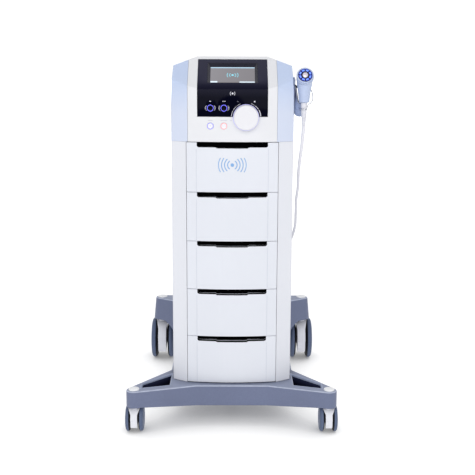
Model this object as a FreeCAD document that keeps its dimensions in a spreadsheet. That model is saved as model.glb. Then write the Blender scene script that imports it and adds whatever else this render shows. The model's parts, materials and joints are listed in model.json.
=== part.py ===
import FreeCAD, Part
import math
import os
import Sketcher

# Mobile ultrasound therapy tower: a five-drawer trolley column on a cast four-caster base, with a
# sloped operating console on top and a hand-held applicator in a holder on the right side.
# Frame: +Z up from the floor, +X to the operator's right when facing the console, front of the unit
# towards -Y, origin on the floor under the middle of the footprint. Millimetres.

Vector = FreeCAD.Vector
Rotation = FreeCAD.Rotation
doc = FreeCAD.newDocument("therapy_tower")

# ---------------------------------------------------------------- driving dimensions
SIZE = dict(
    # casters and their stems
    front_track_half=264.5, rear_track_half=236.0, front_stem_y=-348.0, rear_stem_y=287.0,
    front_trail=14.0, rear_trail=16.0, front_wheel_rad=36.5, rear_wheel_rad=67.5,
    front_wheel_width=13.0, rear_wheel_width=20.5, front_wheel_gap=22.5, rear_wheel_gap=34.0,
    front_axle_rad=4.0, rear_axle_rad=5.0, front_stem_rad=5.5, rear_stem_rad=7.0,
    running_gap=0.05,
    # cast base
    base_top=122.0, beam_bottom=65.0, leg_bottom=75.0, rear_wing_top=216.0,
    rear_caster_seat=144.0, beam_front=-318.0, beam_flat_half=98.0,
    leg_end_rad=21.0, rear_end_rad=22.0, cap_rad=14.6,
    # column
    col_half=163.0, col_front=-299.0, bow_half=98.0, bow_edge=-292.0,
    wing_half=121.6, wing_edge=-288.0, pillar_edge=-263.0, col_rear=150.0,
    skin=3.0, head_bottom=787.0, head_top=1009.0,
    # drawers and chassis
    drawer_pitch=132.6, drawer_top=785.4, drawer_seam=0.9, front_panel_depth=15.0,
    grip_depth=12.8, grip_half=94.0, grip_tongue_half=41.0, grip_tongue=2.4,
    tray_half=109.0, tray_rear=62.0, tray_height=98.0, tray_wall=2.0,
    chassis_half=126.0, chassis_wall=2.0,
    # console
    head_flat_half=94.0, head_seam_half=118.0, head_corner_half=158.0, head_corner_top=984.5,
    bend_start=903.0, bend_rad=43.0, slope_deg=40.0,
    glass_half=92.4, glass_bottom=852.5, glass_top=1001.0, glass_thick=2.5,
    window_half=66.4, display_half=59.0, display_length=63.5,
    knob_x=35.4, knob_z=851.0, knob_rad=33.0, knob_height=22.0,
    button_left_x=-58.0, button_right_x=-22.4, channel_z=875.0, start_z=828.5, button_rad=8.6,
    # applicator
    holder_x=190.6, holder_y=-247.0,
)
sheet = doc.addObject("Spreadsheet::Sheet", "dims")
for row, (alias, size) in enumerate(SIZE.items(), 1):
    sheet.set("A%d" % row, alias)
    sheet.set("B%d" % row, str(size))
    sheet.setAlias("B%d" % row, alias)
doc.recompute()


class Quantity:
    """A sheet quantity: its present value and the expression that binds to it."""

    def __init__(self, value, text):
        self.value, self.text = float(value), text

    def __add__(self, other):
        return Quantity(self.value + value(other), "(%s + %s)" % (self.text, text(other)))

    __radd__ = __add__

    def __sub__(self, other):
        return Quantity(self.value - value(other), "(%s - %s)" % (self.text, text(other)))

    def __rsub__(self, other):
        return Quantity(value(other) - self.value, "(%s - %s)" % (text(other), self.text))

    def __mul__(self, other):
        return Quantity(self.value * value(other), "(%s * %s)" % (self.text, text(other)))

    __rmul__ = __mul__

    def __truediv__(self, other):
        return Quantity(self.value / value(other), "(%s / %s)" % (self.text, text(other)))

    def __neg__(self):
        return Quantity(-self.value, "(0 - %s)" % self.text)


def value(x):
    return x.value if isinstance(x, Quantity) else float(x)


def text(x):
    return x.text if isinstance(x, Quantity) else "%.6f" % float(x)


def dim(alias):
    return Quantity(SIZE[alias], "dims." + alias)


def bind(obj, prop, x):
    setattr(obj, prop, value(x))
    if isinstance(x, Quantity):
        obj.setExpression(prop, x.text)


def place(obj, x=0, y=0, z=0, rot=None):
    obj.Placement = FreeCAD.Placement(Vector(value(x), value(y), value(z)), rot or Rotation())
    for axis, coordinate in (("x", x), ("y", y), ("z", z)):
        if isinstance(coordinate, Quantity):
            obj.setExpression("Placement.Base." + axis, coordinate.text)
    return obj


NODES = []


def node(obj, label):
    """Marks an object as a finished piece; the label names its file."""
    obj.Label = label
    NODES.append(obj)


def check_states(when):
    failed = [o.Name for o in doc.Objects if "Invalid" in o.State or "Error" in o.State]
    if failed:
        raise SystemExit("failed %s: %s" % (when, ", ".join(failed)))


# ---------------------------------------------------------------- helpers: outlines
# An outline is a list of points; a point may carry a third item, the mid point of an arc to the
# next point.
SIDES = (("left", -1), ("right", 1))


def signed(outline, sign):
    """The outline with its x coordinates multiplied by sign."""
    return [(sign * p[0], p[1]) + tuple((sign * m[0], m[1]) for m in p[2:]) for p in outline]


def mirrored(half):
    """Half an outline, followed by its mirror image about x = 0 in reverse order."""
    other = []
    for i, point in reversed(list(enumerate(half))):
        other.append(point[:2] + (half[i - 1][2:] if i else ()))
    return half + signed(other, -1)


def rect(x, y, width, height):
    return [(x, y), (x + width, y), (x + width, y + height), (x, y + height)]


def on_circle(centre, radius, degrees):
    angle = math.radians(degrees)
    return centre[0] + radius * math.cos(angle), centre[1] + radius * math.sin(angle)


def tangent(point, centre, radius, side):
    """Tangent point on the circle seen from point; side +1 is left of the line to the centre."""
    dx, dy = centre[0] - point[0], centre[1] - point[1]
    distance = math.hypot(dx, dy)
    angle = math.atan2(dy, dx) + side * math.asin(radius / distance)
    reach = math.sqrt(distance * distance - radius * radius)
    return point[0] + reach * math.cos(angle), point[1] + reach * math.sin(angle)


def flat(point):
    return Vector(value(point[0]), value(point[1]), 0)


def facets(outline, steps=6):
    """The same outline with each arc drawn as short straight runs."""
    points = []
    for i, p in enumerate(outline):
        points.append((p[0], p[1]))
        if len(p) > 2:
            arc = Part.Arc(flat(p), flat(p[2]), flat(outline[(i + 1) % len(outline)]))
            points += [(w.x, w.y) for w in arc.discretize(steps + 1)[1:-1]]
    return points


# ---------------------------------------------------------------- helpers: sketches and bodies
XY, XZ, YZ = "XY_Plane", "XZ_Plane", "YZ_Plane"
# plane: rotation, normal
PLANES = {
    XY: (Rotation(), Vector(0, 0, 1)),
    XZ: (Rotation(Vector(1, 0, 0), 90), Vector(0, -1, 0)),
    YZ: (Rotation(Vector(1, 1, 1), 120), Vector(1, 0, 0)),
}


def sketch(owner, name, plane, loops, offset=0):
    """A sketch of outlines or circles ("circle", x, y, radius), in a body or free.
    Offset runs along the plane's normal. Outlines with arcs stay as drawn; others are bound."""
    if owner is None:
        sk = doc.addObject("Sketcher::SketchObject", name)
        rotation, normal = PLANES[plane]
        base = normal * value(offset)
        sk.Placement = FreeCAD.Placement(base, rotation)
        if isinstance(offset, Quantity):
            for axis, part in (("x", base.x), ("y", base.y), ("z", base.z)):
                if abs(part) > 1e-9:
                    sign = "" if part * value(offset) > 0 else "0 - "
                    sk.setExpression("Placement.Base." + axis, sign + offset.text)
    else:
        sk = owner.newObject("Sketcher::SketchObject", name)
        support = [f for f in owner.Origin.OriginFeatures if f.Role == plane][0]
        sk.AttachmentSupport = [(support, "")]
        sk.MapMode = "FlatFace"
        sk.AttachmentOffset = FreeCAD.Placement(Vector(0, 0, value(offset)), Rotation())
        if isinstance(offset, Quantity):
            sk.setExpression("AttachmentOffset.Base.z", offset.text)

    def datum(kind, x, *where):
        index = sk.addConstraint(Sketcher.Constraint(kind, *where, value(x)))
        label = "d%d" % index
        sk.renameConstraint(index, label)
        if isinstance(x, Quantity):
            sk.setExpression("Constraints." + label, x.text)

    for loop in loops:
        if loop[0] == "circle":
            radius = loop[3]
            circle = Part.Circle(flat(loop[1:3]), Vector(0, 0, 1), value(radius))
            datum("Radius", radius, sk.addGeometry(circle, False))
            continue
        edges = []
        for i, point in enumerate(loop):
            start, end = flat(point), flat(loop[(i + 1) % len(loop)])
            if len(point) > 2:
                curve = Part.Arc(start, flat(point[2]), end)
            else:
                curve = Part.LineSegment(start, end)
            edges.append(sk.addGeometry(curve, False))
        if any(len(point) > 2 for point in loop):
            continue
        for edge, following in zip(edges, edges[1:] + edges[:1]):
            sk.addConstraint(Sketcher.Constraint("Coincident", edge, 2, following, 1))
        for edge, point in zip(edges, loop):
            datum("DistanceX", point[0], -1, 1, edge, 1)
            datum("DistanceY", point[1], -1, 1, edge, 1)
    return sk


def new_body(name):
    return doc.addObject("PartDesign::Body", name)


def pad(body, name, profile, length):
    feature = body.newObject("PartDesign::Pad", name)
    feature.Profile = profile
    bind(feature, "Length", length)


def pocket(body, name, profile, length):
    doc.recompute()
    check_states("before " + name)
    before = body.Shape.Volume
    feature = body.newObject("PartDesign::Pocket", name)
    feature.Profile = profile
    bind(feature, "Length", length)
    doc.recompute()
    if body.Shape.Volume > before - 1e-3:
        raise SystemExit("pocket %s cuts nothing" % name)


def fillet_body(body, name, radius, keep):
    doc.recompute()
    base = body.Tip
    names = ["Edge%d" % (i + 1) for i, e in enumerate(base.Shape.Edges) if keep(e)]
    feature = body.newObject("PartDesign::Fillet", name)
    feature.Base = (base, names)
    feature.Radius = radius


def revolve_body(name, plane, outline, axis="H_Axis"):
    body = new_body(name)
    profile = sketch(body, name + "_profile", plane, [outline])
    feature = body.newObject("PartDesign::Revolution", name + "_turned")
    feature.Profile = profile
    feature.ReferenceAxis = (profile, [axis])
    feature.Angle = 360.0
    return body


# ---------------------------------------------------------------- helpers: primitives, booleans
def box(name, x, y, z, length, width, height):
    solid = doc.addObject("Part::Box", name)
    for prop, size in (("Length", length), ("Width", width), ("Height", height)):
        bind(solid, prop, size)
    return place(solid, x, y, z)


AXIS_ROTATION = {
    "z": Rotation(),
    "x": Rotation(Vector(0, 1, 0), 90),
    "y": Rotation(Vector(1, 0, 0), -90),
}


def cyl(name, radius, height, x, y, z, axis="z", rot=None):
    solid = doc.addObject("Part::Cylinder", name)
    bind(solid, "Radius", radius)
    bind(solid, "Height", height)
    return place(solid, x, y, z, rot or AXIS_ROTATION[axis])


def sphere(name, radius, x, y, z):
    solid = doc.addObject("Part::Sphere", name)
    solid.Radius = radius
    return place(solid, x, y, z)


def extrude(name, profile, length, both=False, back=False):
    solid = doc.addObject("Part::Extrusion", name)
    solid.Base = profile
    solid.DirMode = "Normal"
    bind(solid, "LengthFwd", length)
    solid.Solid = True
    solid.Symmetric = both
    solid.Reversed = back
    return solid


def revolve(name, profile, axis, base):
    solid = doc.addObject("Part::Revolution", name)
    solid.Source = profile
    solid.Axis = axis
    solid.Base = base
    solid.Angle = 360.0
    solid.Solid = True
    return solid


def cut(name, base, tool):
    result = doc.addObject("Part::Cut", name)
    result.Base, result.Tool = base, tool
    return result


def fuse(name, parts):
    result = doc.addObject("Part::MultiFuse", name)
    result.Shapes = parts
    return result


def common(name, parts):
    result = doc.addObject("Part::MultiCommon", name)
    result.Shapes = parts
    return result


def group(name, parts):
    result = doc.addObject("Part::Compound", name)
    result.Links = parts
    return result


def fillet(name, base, radius, keep):
    doc.recompute()
    picks = [(i + 1, radius, radius) for i, e in enumerate(base.Shape.Edges) if keep(e)]
    result = doc.addObject("Part::Fillet", name)
    result.Base = base
    result.Edges = picks
    doc.recompute()
    return result


def pipe(points, radius):
    """A round bar swept along a smooth curve through the points."""
    curve = Part.BSplineCurve()
    curve.interpolate([Vector(*p) for p in points])
    direction = curve.tangent(curve.FirstParameter)[0]
    start = Part.Wire([Part.Circle(Vector(*points[0]), direction, radius).toShape()])
    return Part.Wire([curve.toShape()]).makePipeShell([start], True, True)


def shape_object(name, shape):
    result = doc.addObject("Part::Feature", name)
    result.Shape = shape
    return result


def mid(edge):
    return edge.valueAt((edge.FirstParameter + edge.LastParameter) / 2)


def flat_at(edge, z, tolerance=0.05):
    bounds = edge.BoundBox
    return abs(bounds.ZMin - z) < tolerance and abs(bounds.ZMax - z) < tolerance


def low_x(sign, inner, width):
    """Lowest x of a part that spans width outwards from inner on the given side."""
    return inner if sign > 0 else -(inner + width)


# ---------------------------------------------------------------- shared places
base_top, beam_bottom = dim("base_top"), dim("beam_bottom")
running_gap = dim("running_gap")
col_half, col_front, col_rear = dim("col_half"), dim("col_front"), dim("col_rear")
skin, head_bottom, head_top = dim("skin"), dim("head_bottom"), dim("head_top")
FITTING_Z = 247.0                          # mains inlet, switch and equipotential pin
PIN_X = 30.0
SOCKET_X, SOCKET_Z = 96.0, 700.0           # cable entry in the rear cover
SCREW_X, SCREW_LEVELS = 133.2, (150.0, 470.0, 770.0)
HANDLE_X, HANDLE_Z = 100.0, 955.0          # handle legs
BUTTONS = (
    ("channel_button_left", dim("button_left_x"), dim("channel_z")),
    ("channel_button_right", dim("button_right_x"), dim("channel_z")),
    ("start_button", dim("button_left_x"), dim("start_z")),
    ("stop_button", dim("button_right_x"), dim("start_z")),
)


class Corner:
    """Sizes of the front or rear casters and their mountings."""

    def __init__(self, where, **own):
        self.where = where
        for part in ("track_half", "stem_y", "stem_rad", "trail",
                     "wheel_rad", "wheel_width", "wheel_gap", "axle_rad"):
            setattr(self, part, dim("%s_%s" % (where, part)))
        self.__dict__.update(own)


# web_foot: lowest level of the housing; scale and tread_scale: size of housing and tread details
CORNERS = (
    Corner("front", top=base_top, seat=dim("leg_bottom"), housing_top=dim("leg_bottom") - 0.4,
           cap_rad=dim("cap_rad"), bore_height=60, stem_foot=52.0,
           web_foot=14.0, scale=1.0, tread_scale=1.0),
    Corner("rear", top=dim("rear_wing_top"), seat=dim("rear_caster_seat"),
           housing_top=dim("rear_caster_seat") - 0.6,
           cap_rad=dim("cap_rad") + 1.0, bore_height=90, stem_foot=98.0,
           web_foot=37.0, scale=1.7, tread_scale=1.6),
)

# ---------------------------------------------------------------- cast base
DECK_HALF, DECK_FRONT, DECK_REAR = 174.0, -187.0, 196.0
WING_ROOT_HALF = 150.0
# plan of the pocket in the top of each front leg
LEG_POCKET = [(245.0, -336.0), (170.5, -313.5), (170.5, -226.0), (245.0, -302.0)]
# room swept by a rear caster: distance from the stem, z
SWIVEL_ROOM = [(0.0, 40.0), (99.0, 40.0), (99.0, 82.0), (95.0, 98.0), (87.0, 112.0),
               (75.0, 125.0), (61.0, 136.0), (48.0, dim("rear_caster_seat")),
               (0.0, dim("rear_caster_seat"))]


def base_outline():
    """Plan of the deck with its two front legs, each ending round a caster stem."""
    stem = SIZE["front_track_half"], SIZE["front_stem_y"]
    radius = SIZE["leg_end_rad"]
    beam, deck = (SIZE["beam_flat_half"], SIZE["beam_front"]), (DECK_HALF, DECK_FRONT)
    arc = (on_circle(stem, radius, -25),)
    return mirrored([beam, tangent(beam, stem, radius, -1) + arc,
                     tangent(deck, stem, radius, 1), deck, (DECK_HALF, DECK_REAR)])


def base_plate():
    plan = sketch(None, "base_plan", XY, [base_outline()], beam_bottom)
    plate = extrude("base_plate_solid", plan, base_top - beam_bottom)
    taper_start = dim("beam_flat_half") + 4
    # underside of a front leg, seen from the front
    taper = [(taper_start, beam_bottom - 2), (taper_start, beam_bottom),
             (240.0, dim("leg_bottom")), (300.0, dim("leg_bottom")), (300.0, beam_bottom - 2)]
    tools = []
    for side, sign in SIDES:
        wedge = sketch(None, side + "_leg_taper", XZ, [signed(taper, sign)], 170)
        tools.append(extrude(side + "_leg_taper_cut", wedge, 240))
        well = sketch(None, side + "_pocket_plan", XY, [signed(LEG_POCKET, sign)], base_top - 43)
        tools.append(extrude(side + "_leg_pocket", well, 60))
    plate = cut("base_plate_shaped", plate, fuse("base_plate_tools", tools))

    def eased(edge):
        """The top edges, apart from each pocket's inner one and the deck's rear one."""
        middle = mid(edge)
        pocket_inner = 165 < abs(middle.x) < 206 and -334 < middle.y < -236
        return (flat_at(edge, SIZE["base_top"]) and not pocket_inner
                and abs(middle.y - DECK_REAR) > 1)

    return fillet("base_plate_rounded", plate, 4.0, eased)


def wing_plan(name, level, front, centre, radius, back):
    """Plan of the rear wings: straight edges run to a round end at each side."""
    front_root, back_root = (WING_ROOT_HALF, front), (WING_ROOT_HALF, back)
    arc = (on_circle(centre, radius, 20),)
    outline = mirrored([front_root, tangent(front_root, centre, radius, -1) + arc,
                        tangent(back_root, centre, radius, 1), back_root])
    return sketch(None, name, XY, [outline], level)


def rear_wing():
    stem = SIZE["rear_track_half"], SIZE["rear_stem_y"]
    low = wing_plan("rear_wing_foot", beam_bottom, 168.0, (239.0, 274.0), 32.0, 314.0)
    high = wing_plan("rear_wing_crown", dim("rear_wing_top"), 207.0, stem,
                     SIZE["rear_end_rad"], 306.0)
    wing = doc.addObject("Part::Loft", "rear_wing_loft")
    wing.Sections = [low, high]
    wing.Solid = True
    wing.Ruled = True
    return fillet("rear_wing_rounded", wing, 4.0, lambda e: flat_at(e, SIZE["rear_wing_top"]))


def base_frame():
    plate, wing = base_plate(), rear_wing()
    rear_x, rear_y = dim("rear_track_half"), dim("rear_stem_y")
    tools = []
    for side, sign in SIDES:
        room = [(sign * rear_x + x, z) for x, z in SWIVEL_ROOM]
        profile = sketch(None, side + "_swivel_profile", XZ, [room], -rear_y)
        tools.append(revolve(side + "_swivel_room", profile, Vector(0, 0, 1),
                             Vector(sign * rear_x.value, rear_y.value, 0)))
        tools += [cyl("%s_%s_stem_bore" % (side, c.where), c.stem_rad + running_gap,
                      c.bore_height, sign * c.track_half, c.stem_y, c.seat - 12)
                  for c in CORNERS]
        tools += [cyl("%s_%s_cap_seat" % (side, c.where), c.cap_rad + 0.1, 10,
                      sign * c.track_half, c.stem_y, c.top - 2.5)
                  for c in CORNERS]
    # the deck is hollow from below, with one rib left across it
    height = SIZE["base_top"] - 50.0
    tools.append(box("deck_hollow_front", -156.0, -286.0, 40.0, 312.0, 216.0, height))
    tools.append(box("deck_hollow_rear", -156.0, -62.0, 40.0, 312.0, 236.0, height))
    cast = fuse("base_cast", [plate, wing])
    node(cut("base_machined", cast, fuse("base_bores", tools)), "base_frame")


def stem_caps():
    """Four domed caps over the stem heads."""
    caps = []
    for corner in CORNERS:
        rad = corner.cap_rad
        # radius, height
        profile = [(0, 0), (rad, 0), (rad, 4.2), (rad - 0.35, 4.9), (rad - 0.95, 5.4),
                   (rad - 1.7, 5.75), (rad - 2.8, 6.05), (rad * 0.66, 6.5), (rad * 0.4, 6.9),
                   (rad * 0.18, 7.1), (0, 7.1)]
        for side, sign in SIDES:
            cap = revolve_body("%s_%s_cap" % (corner.where, side), XZ, profile, "V_Axis")
            place(cap, sign * corner.track_half, corner.stem_y, corner.top - 2.4)
            caps.append(cap)
    node(group("caps_group", caps), "caster_stem_caps")


def caster_stems():
    stems = [cyl("%s_%s_stem" % (side, c.where), c.stem_rad, c.top - 2.6 - c.stem_foot,
                 sign * c.track_half, c.stem_y, c.stem_foot)
             for side, sign in SIDES for c in CORNERS]
    node(group("stems_group", stems), "caster_stems")


base_frame()
stem_caps()
caster_stems()

# ---------------------------------------------------------------- twin-wheel casters
HANDS = (("inner", -1), ("outer", 1))      # the wheel on the -X and on the +X side of the web
PEDAL_BACK, PEDAL_Z = 20.0, 56.5           # pedal pin, measured back from the axle, and its level


def caster_housing(tag, corner, sign):
    """A web between the wheels that flares out above them around the stem."""
    k, top, foot = corner.scale, corner.housing_top, corner.web_foot
    trail, wheel, gap = corner.trail, corner.wheel_rad, corner.wheel_gap
    web = [
        (-14.5 * k, top),
        (-14.5 * k, top - 9 * k, (-13.5 * k, top - 16 * k)),
        (trail - 13.0 * k, wheel - 2, (trail - 11 * k, foot + 6)),
        (trail - 7 * k, foot),
        (trail + 7 * k, foot, (trail + 14.0 * k, foot + 8)),
        (trail + 15 * k, wheel + 6),
        (trail + 13 * k, top - 7 * k, (trail + 9 * k, top - 1.5)),
        (trail + 4 * k, top),
    ]
    solid = extrude(tag + "_housing_block", sketch(None, tag + "_housing_side", YZ, [web]),
                    gap + 12.0 * k, both=True)
    # room for one wheel: x, distance from the axle
    face = gap / 2
    room = [(face - 1.1, 0.0), (face - 1.1, wheel - 6.0 * k), (face + 0.9, wheel - 0.9 * k),
            (face + 3.2 * k, wheel + 1.0), (face + 40, wheel + 1.0), (face + 40, 0.0)]
    tools = []
    for hand, direction in HANDS:
        profile = sketch(None, tag + hand + "_room_profile", XZ, [signed(room, direction)])
        tool = revolve(tag + hand + "_wheel_room", profile, Vector(1, 0, 0), Vector())
        tools.append(place(tool, 0, trail, wheel))
    tools.append(cyl(tag + "_stem_hole", corner.stem_rad + running_gap, 200,
                     0, 0, corner.stem_foot - 0.5))
    tools.append(cyl(tag + "_axle_hole", corner.axle_rad + 0.02, gap + 60,
                     -(gap + 60) / 2, trail, wheel, "x"))
    if corner.where == "front":
        # two ears at the back carry the brake pedal
        ear = [(trail + 12.0, 38.0), (trail + 12.0, 60.0), (trail + 22.0, 62.0),
               (trail + 25.0, 57.0), (trail + 24.0, 51.0)]
        ears = []
        for _, direction in HANDS:
            outline = sketch(None, "%s_ear_side%d" % (tag, direction), YZ, [ear], direction * 7.9)
            ears.append(extrude("%s_ear%d" % (tag, direction), outline, 2.6, both=True))
        solid = fuse(tag + "_housing_eared", [solid] + ears)
        tools.append(box(tag + "_pedal_room", -6.5, trail + 10.0, 44.0, 13.0, 40.0, 40.0))
        tools.append(cyl(tag + "_pedal_pin_hole", 2.05, 40, -20, trail + PEDAL_BACK, PEDAL_Z, "x"))
    housing = cut(tag + "_housing_cut", solid, fuse(tag + "_housing_tools", tools))
    place(housing, sign * corner.track_half, corner.stem_y, 0)
    node(housing, tag + "_caster_housing")


def caster_axle(tag, corner, sign):
    length = corner.wheel_gap + corner.wheel_width * 2 - 5.0
    axle = cyl(tag + "_axle_rod", corner.axle_rad, length, sign * corner.track_half - length / 2,
               corner.stem_y + corner.trail, corner.wheel_rad, "x")
    node(axle, tag + "_axle")


def caster_wheels(tag, corner, sign):
    k, t = corner.scale, corner.tread_scale
    rim = corner.wheel_rad.value
    face = corner.wheel_gap.value / 2
    outer = face + corner.wheel_width.value
    hub = corner.axle_rad.value + running_gap.value
    # x, distance from the axle
    profile = [
        (face, hub),
        (face, rim - 6.5 * k),
        (face + 1.5 * k, rim - 3.2 * k, (face + 2.4 * k, rim - 1.0 * k)),
        (face + 4.5 * k, rim),
        (outer - 5.5 * t, rim, (outer - 1.9 * t, rim - 1.9 * t)),
        (outer - 0.4, rim - 6.5 * t),
        (outer, rim - 10.0 * t),
        (outer - 1.2, rim - 12.0 * t, (outer - 2.6, rim / 2)),
        (outer - 2.4, 9.0),
        (outer - 2.4, hub),
    ]
    wheels = []
    for hand, direction in HANDS:
        wheel = revolve_body("%s_%s_disc" % (tag, hand), XZ, facets(signed(profile, direction)))
        wheels.append(place(wheel, sign * corner.track_half, corner.stem_y + corner.trail,
                            corner.wheel_rad))
    node(group(tag + "_pair", wheels), tag + "_wheels")


def brake_pedal(tag, corner, sign):
    """A curved lever on a pin with a wide tread at its rear end; y and z from the pin."""
    arm = [(-3.5, -3.2), (4.0, -3.2), (20.0, -1.2, (31.0, 2.2)), (40.0, 8.0),
           (38.8, 10.4, (29.0, 6.0)), (18.0, 2.4), (3.0, 3.2), (-3.5, 3.2)]
    tread = [(28.0, 2.6), (41.0, 8.2), (40.0, 11.2), (26.6, 5.4)]
    lever = extrude(tag + "_pedal_arm", sketch(None, tag + "_pedal_side", YZ, [arm]),
                    12.6, both=True)
    plate = extrude(tag + "_pedal_plate", sketch(None, tag + "_pedal_tread", YZ, [tread]),
                    20.0, both=True)
    pin = cyl(tag + "_pedal_pin", 2.0, 18.0, -9.0, 0, 0, "x")
    pedal = fuse(tag + "_pedal_fused", [lever, plate, pin])
    place(pedal, sign * corner.track_half, corner.stem_y + corner.trail + PEDAL_BACK, PEDAL_Z)
    node(pedal, tag + "_brake_pedal")


for corner in CORNERS:
    for side, sign in SIDES:
        tag = corner.where + "_" + side
        caster_housing(tag, corner, sign)
        caster_axle(tag, corner, sign)
        caster_wheels(tag, corner, sign)
        if corner.where == "front":
            brake_pedal(tag, corner, sign)

# ---------------------------------------------------------------- column: chassis and skins
chassis_half, chassis_wall = dim("chassis_half"), dim("chassis_wall")
CHASSIS_FRONT, CHASSIS_DEPTH = -262.0, 360.0
PANEL_LOW, PANEL_HEIGHT = base_top + 0.3, head_bottom - base_top - 0.6
REAR_CORNER_RAD = 22.0


def inner_chassis():
    outer, wall = chassis_half + chassis_wall, chassis_wall
    front, depth = CHASSIS_FRONT, CHASSIS_DEPTH
    low, deck = base_top + 0.2, head_bottom - 1.0
    height = deck - base_top - 0.2
    walls = [
        box("chassis_floor", -outer, front, low, outer * 2, depth, wall),
        box("chassis_deck", -150, -255, deck - wall, 300, 385, wall),
        box("chassis_left_wall", -outer, front, low, wall, depth, height),
        box("chassis_right_wall", chassis_half, front, low, wall, depth, height),
        box("chassis_back", -outer, front + depth - wall, low, outer * 2, wall, height),
    ]
    # a rung across the front between each two drawers
    for i in range(1, 5):
        z = dim("drawer_top") - dim("drawer_pitch") * i - 1.2
        walls.append(box("chassis_rung_%d" % i, -(chassis_half + 1), -263.4, z,
                         (chassis_half + 1) * 2, 6, 2.0))
    slots = [box("chassis_cable_slot", 40, 90, 690, 60, 12, 50),
             box("chassis_deck_slot", 60, 70, deck - 5, 50, 16, 10)]
    chassis = fuse("chassis_welded", walls)
    node(cut("chassis_cut", chassis, fuse("chassis_holes", slots)), "inner_chassis")


def side_panel(side, sign):
    """One bent skin: an angled pillar face in front and a return flange behind it."""
    wing, pillar, rear = dim("wing_edge"), dim("pillar_edge"), 109.6
    plan = [
        (122.6, wing), (col_half - 4, pillar - 2.6, (col_half - 1.0, pillar - 0.2)),
        (col_half, pillar + 3.4), (col_half, rear), (col_half - skin, rear),
        (col_half - skin, pillar + 5.0), (col_half - 6.0, pillar + 0.8), (128.6, wing + 6.8),
        (128.6, -264.0), (125.0, -264.0), (122.6, -268.0),
    ]
    body = new_body(side + "_side_skin")
    profile = sketch(body, side + "_side_plan", XY, [signed(plan, sign)], PANEL_LOW)
    pad(body, side + "_side_pad", profile, PANEL_HEIGHT)
    node(body, side + "_side_panel")


def rear_cover():
    """Wraps the back corners; louvred, with openings for the rear fittings."""
    radius = REAR_CORNER_RAD

    def wrap(inset):
        """Right half of the cover's outside, moved inwards by inset."""
        centre = col_half - radius, col_rear - radius
        return [(col_half - inset, 110.0),
                (col_half - inset, col_rear - radius, on_circle(centre, radius - inset, 45)),
                (col_half - radius, col_rear - inset)]

    outline = mirrored(wrap(0)) + mirrored(signed(wrap(skin), -1))
    body = new_body("rear_cover_skin")
    pad(body, "rear_cover_pad", sketch(body, "rear_cover_plan", XY, [outline], PANEL_LOW),
        PANEL_HEIGHT)
    cut_plane = -(col_rear - 10)
    slots = [rect(sign * 70.0 - 30, 300.0 + i * 14, 60, 5) for i in range(7) for _, sign in SIDES]
    pocket(body, "rear_louvres", sketch(body, "louvre_profile", XZ, slots, cut_plane), 20)
    ports = [rect(-74, FITTING_Z - 12, 30, 24), rect(-29.2, FITTING_Z - 10.2, 20.4, 20.4),
             ("circle", PIN_X, FITTING_Z, 5.05), ("circle", SOCKET_X, SOCKET_Z, 11.0)]
    ports += [("circle", sign * SCREW_X, z, 2.2) for _, sign in SIDES for z in SCREW_LEVELS]
    pocket(body, "rear_ports", sketch(body, "port_profile", XZ, ports, cut_plane), 20)
    node(body, "rear_cover")


inner_chassis()
for side, sign in SIDES:
    side_panel(side, sign)
rear_cover()

# ---------------------------------------------------------------- drawers, numbered from the top
panel_height = dim("drawer_pitch") - dim("drawer_seam")
panel_back = col_front + dim("front_panel_depth") + 7.0
tray_half, tray_front = dim("tray_half"), panel_back + 0.2


def drawer_front(index, low):
    """A bowed panel with a finger opening in its top edge and a hollow back."""
    name = "drawer_%d" % index
    bow, bow_y = dim("bow_half"), dim("bow_edge")
    wing, wing_y = dim("wing_half"), dim("wing_edge")
    grip, tongue = dim("grip_half"), dim("grip_tongue_half")
    grip_low = panel_height - dim("grip_depth")
    tongue_low = grip_low - dim("grip_tongue")
    body = new_body(name + "_panel")
    plan = [(-wing, wing_y), (-bow, bow_y, (0.0, col_front)), (bow, bow_y), (wing, wing_y),
            (wing, panel_back), (-wing, panel_back)]
    pad(body, name + "_panel_pad", sketch(body, name + "_panel_plan", XY, [plan]), panel_height)
    # slanted lower corners and a deeper centre tongue
    opening = mirrored([(-grip, panel_height + 2), (-grip, grip_low + 3.0),
                        (-(grip - 4), grip_low), (-(tongue + 3), grip_low),
                        (-tongue, tongue_low)])
    pocket(body, name + "_grip", sketch(body, name + "_grip_profile", XZ, [opening], 320), 60)
    # the hollow leaves a rim, and stays clear of the finger opening
    side, high = wing - 4, panel_height - 4
    hollow = [(-side, 4.0), (side, 4.0), (side, high), (grip + 4, high),
              (grip + 4, tongue_low - 4), (-(grip + 4), tongue_low - 4), (-(grip + 4), high),
              (-side, high)]
    profile = sketch(body, name + "_hollow_profile", XZ, [hollow], -(bow_y + 5.0))
    pocket(body, name + "_hollow", profile, 40)
    # long level edges of the bowed face
    fillet_body(body, name + "_edges", 1.2,
                lambda e: e.Length > 60 and mid(e).y < -287.5 and abs(mid(e).x) < 118
                and abs(e.BoundBox.ZMax - e.BoundBox.ZMin) < 0.01)
    place(body, 0, 0, low)
    node(body, name + "_front")


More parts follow.
